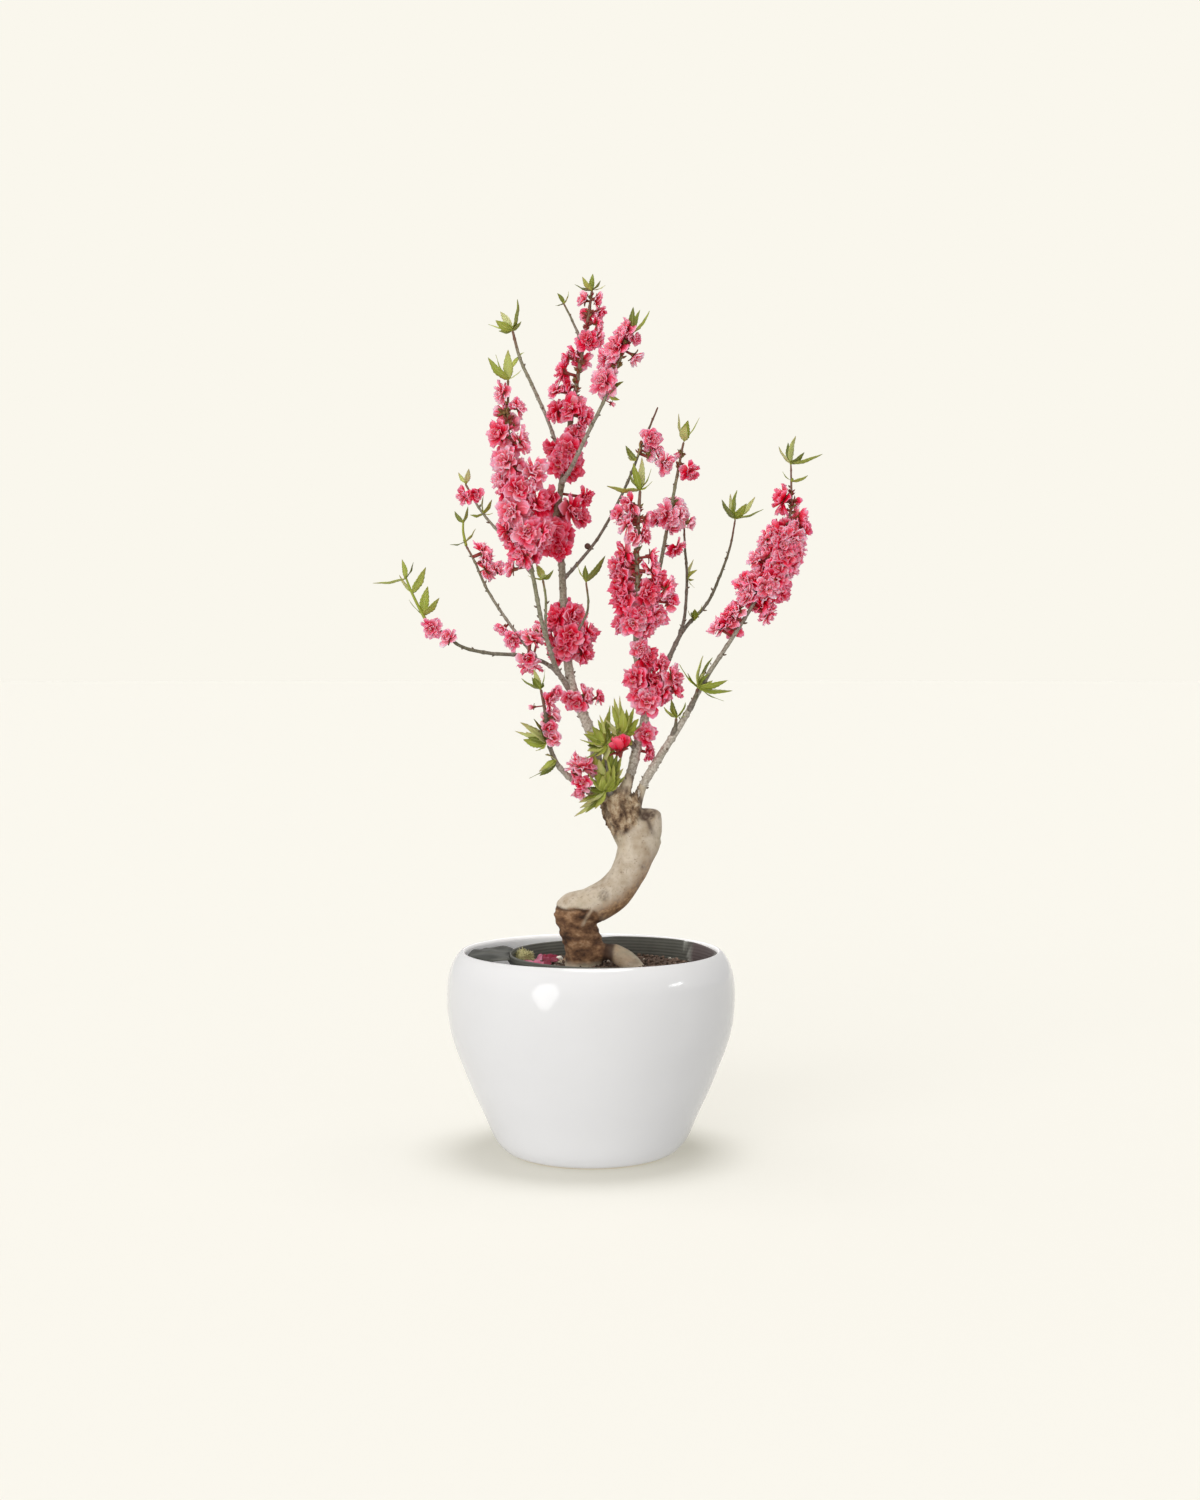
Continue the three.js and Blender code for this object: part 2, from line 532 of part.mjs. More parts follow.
// A lance-shaped leaf: a twisted blade with uneven sides and a pointed foot
function leafGeometry(root, axis, tip, width, seed) {
  const along = tip.clone().sub(root);
  const length = along.length();
  along.normalize();
  const side = new THREE.Vector3().crossVectors(axis, along);
  if (side.length() < 0.2) side.set(along.z, 0, -along.x);
  side.normalize();
  const face = new THREE.Vector3().crossVectors(along, side).normalize();
  const place = (share, across, up) => root.clone()
    .addScaledVector(along, share * length)
    .addScaledVector(side, across * width)
    .addScaledVector(face, up);
  const wave = jitter(seed, 23);
  const bow = 0.07 * length;
  const top = [
    place(0.46 + 0.08 * wave, 0.5, bow + 0.12 * width * wave),
    place(0.46 - 0.08 * wave, -0.5, bow - 0.12 * width * wave),
    place(1, 0, 0),
  ];
  const bottom = top.map((corner) => corner.clone().addScaledVector(face, -BLADE));
  const vertices = [...top, ...bottom, place(0.5 / length, 0, -0.3)];
  const [left, right, point] = [0, 1, 2];
  const low = 3;
  const foot = 6;
  return closedGeometry(vertices, [
    [foot, right, left], [left, right, point],
    [foot, left + low, right + low], [left + low, point + low, right + low],
    [foot, left, left + low], [foot, right + low, right],
    [left, point, point + low], [left, point + low, left + low],
    [point, right, right + low], [point, right + low, point + low],
  ]);
}

// A tuft: a bud at the foot and the leaves that unfold from it
function tuftSolid([x, z, y], leaves, seed) {
  const root = seen(x, z, y);
  const tips = leaves.map(([tipX, tipZ, beyond]) => seen(tipX, tipZ, y + beyond * LEAF_SPREAD));
  const axis = new THREE.Vector3();
  tips.forEach((tip) => axis.add(tip.clone().sub(root).normalize()));
  axis.normalize();
  const bud = new THREE.OctahedronGeometry(BUD_RADIUS, 0);
  bud.scale(1, 1, 1.3);
  bud.translate(root.x + axis.x, root.y + axis.y, root.z + axis.z);
  const blades = leaves.map(([, , , width], i) => leafGeometry(root, axis, tips[i], width, seed + i));
  return wasm.Manifold.union([bud, ...blades].map(toSolid));
}

// Build the wood, and the same wood a gap larger, which everything that grows on it is cut by
const wood = largestBody(woodSolid(0));
const clearWood = woodSolid(GAP);
addMesh('tree_wood', toGeometry(wood), WOOD);

// A solid turned about the Z axis from a profile of radius and height
function turned(profile, segments) {
  const points = profile.map(([radius, height]) => new THREE.Vector2(radius, height));
  const geometry = new THREE.LatheGeometry(points, segments);
  geometry.rotateX(Math.PI / 2);
  return geometry;
}

// Pot: a glazed shell with a swollen belly and a rounded lip that leans inwards
const potOutside = [
  [0, 0], [POT_BASE_RADIUS, 0], [89, 4], [97, 11], [103.5, 21], [113, 43], [125, 69], [135, 94],
  [143, 115], [148.5, 136], [POT_BELLY_RADIUS, 162], [150, 184], [146.5, 197], [142, 206], [138, 211],
  [134.8, POT_HEIGHT],
];
const potInside = [
  [132.9, 211.5], [132.8, 207], [138, 194], [142, 166], [130, 104], [108, 52], [96, 24],
  [88, POT_FLOOR], [0, POT_FLOOR],
];
addMesh('pot', toGeometry(toSolid(turned([...potOutside, ...potInside], POT_SEGMENTS))), GLAZE);

// The liner stands on the pot's floor and leans a little to the right: its axis shifts from base to rim
const LINER_FLOOR = POT_FLOOR + GAP;
const linerInnerBase = LINER_BASE_RADIUS - LINER_WALL;
const linerInnerRim = LINER_RIM_RADIUS - 2 * LINER_WALL;

function lean(geometry) {
  const position = geometry.attributes.position;
  for (let i = 0; i < position.count; i += 1) {
    const rise = (position.getZ(i) - LINER_FLOOR) / (LINER_RIM_HEIGHT - LINER_FLOOR);
    position.setX(i, position.getX(i) + THREE.MathUtils.lerp(LINER_LEAN_BASE, LINER_LEAN_RIM, rise));
  }
  return geometry;
}

function linerSolid() {
  const beadFoot = LINER_RIM_HEIGHT - LINER_BEAD;
  const profile = [
    [0, LINER_FLOOR], [LINER_BASE_RADIUS, LINER_FLOOR], [LINER_RIM_RADIUS - LINER_WALL, beadFoot],
    [LINER_RIM_RADIUS, beadFoot + 1], [LINER_RIM_RADIUS, LINER_RIM_HEIGHT - 1],
    [LINER_RIM_RADIUS - 1, LINER_RIM_HEIGHT], [linerInnerRim + 0.6, LINER_RIM_HEIGHT],
    [linerInnerRim, LINER_RIM_HEIGHT - 1], [linerInnerBase, LINER_FLOOR + LINER_WALL],
    [0, LINER_FLOOR + LINER_WALL],
  ];
  return toSolid(lean(turned(profile, LINER_SEGMENTS)));
}

// A flap of the liner's soft edge, folded out and down into the space on the left
const FLAP_THICKNESS = 1.2;
const flapEdge = [
  [-92, -52, 207.5], [-101, -56, 207], [-110, -45, 203], [-118, -30, 201], [-121, -10, 199],
  [-118, 8, 200], [-108, 16, 203], [-96, 20, 206], [-86, 22, 208],
];
const flapHinge = [LINER_LEAN_RIM - LINER_RIM_RADIUS + 3, -16, 207];

function flapSolid() {
  const vertices = [];
  [...flapEdge, flapHinge].forEach(([x, y, z]) => {
    vertices.push(new THREE.Vector3(x, y, z), new THREE.Vector3(x, y, z - FLAP_THICKNESS));
  });
  const hinge = 2 * flapEdge.length;
  const end = hinge - 2;
  const triangles = [
    [hinge, 0, 1], [hinge, 1, hinge + 1], [hinge, end + 1, end], [hinge, hinge + 1, end + 1],
  ];
  for (let a = 0; a < end; a += 2) {
    triangles.push([hinge, a + 2, a], [hinge + 1, a + 1, a + 3], [a, a + 3, a + 1], [a, a + 2, a + 3]);
  }
  return toSolid(closedGeometry(vertices, triangles));
}
addMesh('liner', toGeometry(largestBody(linerSolid().add(flapSolid()))), LINER_PLASTIC);

// Soil: a low mound with crumbs raised by a formula, and a plain hole for the trunk and roots
const soilCentre = LINER_LEAN_RIM - 1;

function soilHeight(radius, angle) {
  const share = radius / (LINER_RIM_RADIUS - 8);
  const spokes = 1.4 * Math.sin(5 * angle + radius * 0.11);
  const rings = 1.1 * Math.sin(radius * 0.21 + 3 * angle + 1.3);
  const crumbs = spokes + rings;
  return SOIL_EDGE + SOIL_MOUND * (1 - share * share) + crumbs * Math.min(1, share * 2);
}

function groundHeight(x, y) {
  return soilHeight(Math.hypot(x - soilCentre, y), Math.atan2(y, x - soilCentre));
}

function soilSolid(raise) {
  const bottom = LINER_FLOOR + LINER_WALL + GAP;
  const shoulder = SOIL_EDGE - 4;
  const innerRadius = (height) => THREE.MathUtils.mapLinear(
    height, LINER_FLOOR + LINER_WALL, LINER_RIM_HEIGHT - 1, linerInnerBase, linerInnerRim,
  ) - 1;
  const rim = innerRadius(shoulder);
  const profile = [
    [0, bottom], [innerRadius(bottom), bottom], [rim, shoulder], [rim * 0.93, SOIL_EDGE],
    [rim * 0.66, SOIL_EDGE], [rim * 0.36, SOIL_EDGE], [0, SOIL_EDGE],
  ];
  const geometry = turned(profile, SOIL_SEGMENTS);
  const position = geometry.attributes.position;
  for (let i = 0; i < position.count; i += 1) {
    if (position.getZ(i) > shoulder + 1) {
      const radius = Math.hypot(position.getX(i), position.getY(i));
      const angle = Math.atan2(position.getY(i), position.getX(i));
      position.setZ(i, soilHeight(radius, angle) + raise);
    }
  }
  return toSolid(lean(geometry));
}
addMesh('soil', toGeometry(largestBody(soilSolid(0).subtract(clearWood))), EARTH);

// What lies on the soil is cut off a gap above it
const clearGround = soilSolid(GAP).add(clearWood);

function lumpSolid([x, y], [wide, deep, high], seed) {
  const geometry = new THREE.IcosahedronGeometry(1, 0);
  const position = geometry.attributes.position;
  for (let i = 0; i < position.count; i += 1) {
    const corner = Math.round(position.getX(i) * 7 + position.getY(i) * 13 + position.getZ(i) * 29);
    const swell = 1 + 0.14 * jitter(corner, seed);
    position.setXYZ(
      i,
      x + position.getX(i) * wide * swell,
      y + position.getY(i) * deep * swell,
      groundHeight(x, y) + high * (0.5 + position.getZ(i) * swell),
    );
  }
  return toSolid(geometry).subtract(clearGround);
}
addMesh('pebble', toGeometry(largestBody(lumpSolid([-31, 36], [3.6, 3, 2.8], 5))), PEBBLE_WHITE);
addMesh('moss_clump', toGeometry(largestBody(lumpSolid([-66, 26], [8, 9, 9], 9))), MOSS_GREEN);

// Fallen petals: small cupped blades of six corners that lie over each other in a chain
const FALLEN = [[-58, 25], [-52, 31], [-46, 27], [-43, 35], [-45, 21]];
const PETAL_LENGTH = 12;
const PETAL_WIDTH = 10;

function fallenPetal([x, y], i) {
  const turn = jitter(i, 41) * Math.PI;
  const height = groundHeight(x, y) + 1.6 + 0.5 * (i % 2);
  const outline = [[-0.5, -0.12], [0, -0.5], [0.4, -0.34], [0.4, 0.34], [0, 0.5], [-0.5, 0.12]];
  const top = outline.map(([along, across]) => new THREE.Vector3(
    x + PETAL_LENGTH * along * Math.cos(turn) - PETAL_WIDTH * across * Math.sin(turn),
    y + PETAL_LENGTH * along * Math.sin(turn) + PETAL_WIDTH * across * Math.cos(turn),
    height + along + 2 * Math.abs(across),
  ));
  const vertices = top.concat(top.map((corner) => corner.clone().setZ(corner.z - BLADE)));
  const count = top.length;
  const triangles = [];
  for (let k = 1; k < count - 1; k += 1) {
    triangles.push([0, k, k + 1], [count, count + k + 1, count + k]);
  }
  for (let k = 0; k < count; k += 1) {
    const next = (k + 1) % count;
    triangles.push([k, count + k, count + next], [k, count + next, next]);
  }
  return toSolid(closedGeometry(vertices, triangles));
}
const fallen = wasm.Manifold.union(FALLEN.map(fallenPetal)).subtract(clearGround);
addMesh('fallen_petals', toGeometry(largestBody(fallen)), PINK);

// Round each flower, a ball that leaves and later sprays are kept out of
const bloomBalls = [];

function bloomBall(bloom) {
  const radius = bloom.radius * BLOOM_CLEARANCE;
  const geometry = new THREE.IcosahedronGeometry(radius, 1);
  const middle = bloom.centre.clone().lerp(bloom.root, 0.1);
  geometry.translate(middle.x, middle.y, middle.z);
  return { centre: bloom.centre, radius, solid: toSolid(geometry) };
}

function clearOfBlooms(solid, isNear) {
  return bloomBalls.filter(isNear).reduce((body, ball) => body.subtract(ball.solid), solid);
}

// Sprays of flowers: a slim sleeve along the limb holds them together
Object.entries(SPRAYS).forEach(([name, [limb, blooms]], spray) => {
  const line = limbLine(LIMBS[limb]);
  const placed = placeBlooms(line, blooms);
  const places = placed.map((bloom) => bloom.u);
  const margin = SLEEVE_MARGIN / line.spans;
  const from = Math.max(0, Math.min(...places) - margin);
  const to = Math.min(1, Math.max(...places) + margin);
  const steps = Math.max(1, Math.round(SLEEVE_STEPS_PER_SPAN * (to - from) * line.spans));
  const sleeve = toSolid(tube(line, evenPlaces(from, to, steps), 4, SLEEVE_WALL));
  const flowers = placed.map((bloom, i) => toSolid(bloomGeometry(bloom, spray * 31 + i)));
  const touches = (bloom, ball) => bloom.centre.distanceTo(ball.centre) < bloom.radius + ball.radius;
  const body = clearOfBlooms(
    wasm.Manifold.union([sleeve, ...flowers]).subtract(clearWood),
    (ball) => placed.some((bloom) => touches(bloom, ball)),
  );
  addMesh(name, toGeometry(largestBody(body)), PALE_SPRAYS.includes(name) ? PALE_PINK : PINK);
  bloomBalls.push(...placed.map(bloomBall));
});

// Tufts of leaves, cut clear of the wood and the flowers
function addLeaves(name, solid, foot) {
  const body = clearOfBlooms(
    solid.subtract(clearWood),
    (ball) => ball.centre.distanceTo(foot) < ball.radius + LONGEST_LEAF,
  );
  addMesh(name, toGeometry(largestBody(body)), LEAF_GREEN);
}

Object.entries(TUFTS).forEach(([name, [foot, leaves]], tuft) => {
  addLeaves(name, tuftSolid(foot, leaves, tuft * 17), seen(...foot));
});

Object.entries(SHOOTS).forEach(([name, [stem, tufts]], shoot) => {
  const line = limbLine(stem);
  const solids = tufts.map(([foot, leaves], i) => tuftSolid(foot, leaves, 500 + shoot * 17 + i * 5));
  solids.push(toSolid(tube(line, evenPlaces(0, 1, line.spans), 4, 0)));
  addLeaves(name, wasm.Manifold.union(solids), line.curve.getPoint(0));
});

export default tree;
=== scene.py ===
# The looks of a potted flowering peach tree, in metres, +Z up.
# The origin is the centre of the pot's flat base, and the viewer stands on the -Y side.

import math

import bmesh
import bpy
from mathutils import Matrix, Vector, noise


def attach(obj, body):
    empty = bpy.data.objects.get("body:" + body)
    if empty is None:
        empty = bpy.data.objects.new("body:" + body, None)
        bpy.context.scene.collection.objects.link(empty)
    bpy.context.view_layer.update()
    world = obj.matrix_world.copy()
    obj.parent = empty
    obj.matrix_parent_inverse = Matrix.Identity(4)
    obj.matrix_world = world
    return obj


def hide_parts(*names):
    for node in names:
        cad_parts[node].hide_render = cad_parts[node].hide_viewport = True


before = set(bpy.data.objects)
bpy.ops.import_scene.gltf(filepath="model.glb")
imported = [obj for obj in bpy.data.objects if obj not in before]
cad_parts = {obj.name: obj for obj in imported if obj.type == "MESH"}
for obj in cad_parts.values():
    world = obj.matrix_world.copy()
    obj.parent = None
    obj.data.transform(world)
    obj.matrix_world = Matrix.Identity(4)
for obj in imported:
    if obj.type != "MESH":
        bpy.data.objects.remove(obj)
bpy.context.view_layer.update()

# Lists of points are in millimetres, as drawn, and MM takes them to metres
MM = 0.001

# Camera: the photograph's place, height and slight downward pitch
EYE = Vector((9.4, -2177, 513.5)) * MM
PITCH = math.radians(2.38)
LENS = 50
SENSOR = 36

# Pot, liner and soil, in millimetres: heights, and how far right the liner stands at its base and rim
POT_FLOOR = 10
LINER_LOW = 10.3
LINER_RIM = 210
LINER_LEAN = (10, 22)
SOIL_LOW = 12.6
SOIL_SHOULDER = 188
SOIL_EDGE = 192
SOIL_MOUND = 6
SOIL_CENTRE = 21

# The liner's inner wall, as a radius and a height at its foot and under its rim
LINER_FOOT = (74, 12.3)
LINER_TOP = (106, 209)

# How many loose crumbs lie on the soil, and how far out
CRUMBS = 1500
CRUMB_REACH = 98

# A petal's thickness is a share of its flower's radius, and a leaf's a share of its width
PETAL_THICKNESS = 0.018
LEAF_THICKNESS = 0.05

# Grain of the trunk's skin, and the spaces between a limb's nodes and between its rings
VOXEL = 1.4 * MM
NODE_SPACING = 13 * MM
RING_SPACING = 2.4 * MM

# Heights on the trunk: the graft line in millimetres, and where the old bark turns grey
GRAFT = 258
BARK_TURN = 300 * MM

# Below this radius a flower is half open, and below the second it is a bud
HALF_OPEN = 10.5
BUD = 7.5


def srgb(red, green, blue):
    """A linear colour from 0 to 255 display values."""
    def linear(value):
        share = value / 255
        return share / 12.92 if share <= 0.04045 else ((share + 0.055) / 1.055) ** 2.4
    return (linear(red), linear(green), linear(blue), 1)


def jitter(i, seed):
    """A repeatable number between -1 and 1 for item i of group seed."""
    value = math.sin(i * 12.9898 + seed * 78.233) * 43758.5453
    return 2 * (value - math.floor(value)) - 1


def seen(x, z, y):
    """The point drawn at x, z in the plane of the pot's axis, carried to depth y along the line of sight."""
    stretch = (y * MM - EYE.y) / -EYE.y
    return Vector((EYE.x + (x * MM - EYE.x) * stretch, y * MM, EYE.z + (z * MM - EYE.z) * stretch))


def clamp(value, low=0.0, high=1.0):
    return min(max(value, low), high)


def fade(value, low, high):
    """0 below low, 1 above high, and smooth between."""
    share = clamp((value - low) / (high - low))
    return share * share * (3 - 2 * share)


def glide(before, start, end, after, t):
    """The point at share t of a smooth curve from start to end, given its neighbours before and after."""
    leave, arrive = (end - before) / 2, (after - start) / 2
    return (
        start * (2 * t ** 3 - 3 * t ** 2 + 1) + leave * (t ** 3 - 2 * t ** 2 + t)
        + end * (3 * t ** 2 - 2 * t ** 3) + arrive * (t ** 3 - t ** 2)
    )


# Limbs, as x, z, depth y and radius
LIMBS = {
    "trunk": [
        [-7, 140, 0, 10], [-9, 175, 0, 19], [-10, 197, 0, 22], [-12, 215, 0, 20], [-14, 235, 0, 20.5],
        [-15, 250, 0, 21], [2, 260, -3, 20], [22, 272, -5, 19], [37, 291, -4, 18], [47, 315, 0, 20],
        [51, 335, 2, 21], [60, 348, 3, 14], [61, 360, 3, 11.5],
    ],
    "head": [
        [48, 322, 0, 18], [37, 345, 0, 19], [29, 360, -1, 19], [24, 374, -3, 15], [23, 384, -3, 9],
    ],
    "surface_root": [
        [2, 210, -6, 9.5], [20, 210.5, -12, 9], [35, 203.5, -16, 10.5], [47, 190, -18, 11.5],
        [53, 179, -20, 10],
    ],
    "back_root": [[-14, 204, 6, 9], [-30, 196, 16, 7], [-42, 188, 26, 6]],
    "left_scaffold": [
        [20, 366, -4, 9], [8, 400, -8, 6.2], [3, 432, -9, 5.6], [-9, 462, -7, 5.2], [-20, 490, -3, 5],
        [-24, 515, 4, 4.6], [-27, 545, 9, 4.2], [-29, 585, 13, 3.8], [-31, 620, 17, 3.6],
        [-37, 655, 22, 3.4], [-31, 697, 26, 3.2], [-26, 735, 28, 3], [-20, 772, 30, 2.6],
        [-13, 815, 31, 2.2], [-5, 858, 31, 1.8], [1, 898, 30, 1.3],
    ],
    "left_column": [
        [-13, 468, -7, 3], [-24, 488, -6, 3.8], [-36, 508, -20, 3.2], [-44, 532, -38, 3],
        [-52, 560, -48, 2.8], [-60, 602, -52, 2.6], [-68, 640, -55, 2.5], [-77, 680, -57, 2.4],
        [-84, 725, -58, 2.2], [-86, 765, -58, 1.9], [-86, 806, -58, 1.4],
    ],
    "green_stem": [
        [-42, 522, -34, 2], [-47, 550, -38, 1.5], [-47, 580, -40, 1.3], [-50, 600, -42, 1.1],
    ],
    "top_left_twig": [
        [-30, 722, 27, 2.4], [-44, 764, 42, 1.8], [-60, 800, 50, 1.6], [-73, 828, 55, 1.5],
        [-81, 857, 58, 1.2],
    ],
    "small_top_twig": [[-9, 845, 31, 1.6], [-19, 868, 24, 1.2], [-28, 886, 20, 1]],
    "right_top": [
        [-31, 700, 22, 2.6], [-20, 718, 6, 2.2], [-2, 755, -8, 2], [14, 787, -12, 1.8],
        [30, 828, -14, 1.6], [43, 855, -15, 1.2],
    ],
    "long_twig": [
        [-30, 600, 14, 2.2], [-14, 617, 18, 1.8], [10, 648, 26, 1.6], [36, 697, 36, 1.5],
        [56, 747, 43, 1.3], [69, 778, 46, 0.9],
    ],
    "thin_twig": [[-27, 530, 6, 2], [-12, 550, -6, 1.4], [-3, 572, -12, 1.2], [-5, 597, -14, 1]],
    "left_arch": [
        [-30, 500, -14, 2.6], [-48, 514, -18, 2.2], [-75, 522, -24, 2], [-105, 524, -30, 1.9],
        [-135, 531, -35, 1.7], [-155, 546, -38, 1.5], [-172, 558, -40, 1.2],
    ],
    "left_second": [
        [-56, 518, -20, 1.9], [-71, 536, -4, 1.7], [-90, 562, 12, 1.6], [-108, 590, 24, 1.5],
        [-121, 619, 32, 1.3], [-130, 636, 36, 1.1],
    ],
    "left_third": [
        [-61, 606, -50, 1.8], [-78, 628, -42, 1.6], [-96, 650, -34, 1.5], [-115, 673, -26, 1.3],
        [-130, 699, -20, 1.1],
    ],
    "low_left": [
        [14, 372, -8, 6], [-10, 385, -20, 4.4], [-33, 405, -32, 3.4], [-44, 430, -42, 2.8],
        [-47, 458, -48, 2.4], [-52, 485, -50, 1.8],
    ],
    "centre_scaffold": [
        [30, 366, -4, 8], [42, 400, -12, 5.4], [49, 430, -16, 4.8], [56, 455, -16, 4.4],
        [57, 482, -16, 4], [49, 510, -18, 3.4], [47, 540, -22, 3], [49, 580, -26, 2.7],
        [48, 620, -28, 2.4], [49, 655, -28, 2], [51, 692, -28, 1.5],
    ],
    "branch_c": [
        [48, 524, -19, 2.6], [58, 560, 2, 2.3], [70, 605, 26, 2.1], [79, 652, 42, 1.9],
        [88, 700, 52, 1.7], [96, 742, 58, 1.2],
    ],
    "branch_e": [
        [55, 472, -16, 3.4], [74, 503, 10, 2.8], [95, 546, 36, 2.5], [121, 576, 56, 2.1],
        [135, 606, 66, 1.8], [145, 635, 73, 1.5], [150, 662, 76, 1.1],
    ],
    "branch_d": [
        [92, 540, 34, 2.2], [98, 565, 44, 1.7], [100, 605, 54, 1.5], [98, 632, 60, 1.3],
        [97, 654, 64, 1],
    ],
    "branch_f": [
        [42, 358, -2, 8], [55, 387, -6, 4.8], [72, 416, -12, 4.2], [98, 457, -22, 3.8],
        [120, 498, -30, 3.4], [148, 541, -38, 3], [178, 590, -44, 2.6], [200, 635, -48, 2.3],
        [208, 675, -49, 1.9], [208, 719, -48, 1.2],
    ],
    "spur_low": [[20, 374, -12, 5], [17, 402, -24, 2.6], [14, 428, -28, 1.6]],
    "spur_front": [[47, 424, -17, 3.2], [39, 434, -26, 2], [34, 440, -32, 1.5]],
    "spur_f": [[101, 462, -23, 3], [108, 475, -30, 2], [111, 486, -33, 1.5]],
    "spur_f_low": [[84, 436, -17, 3], [88, 446, -22, 2], [89, 455, -25, 1.4]],
}
TRUNK_PARTS = ("trunk", "head", "surface_root", "back_root")
# Limbs that leave the head: their first stretch is grown into it
SCAFFOLDS = ("left_scaffold", "centre_scaffold", "branch_f", "low_left")

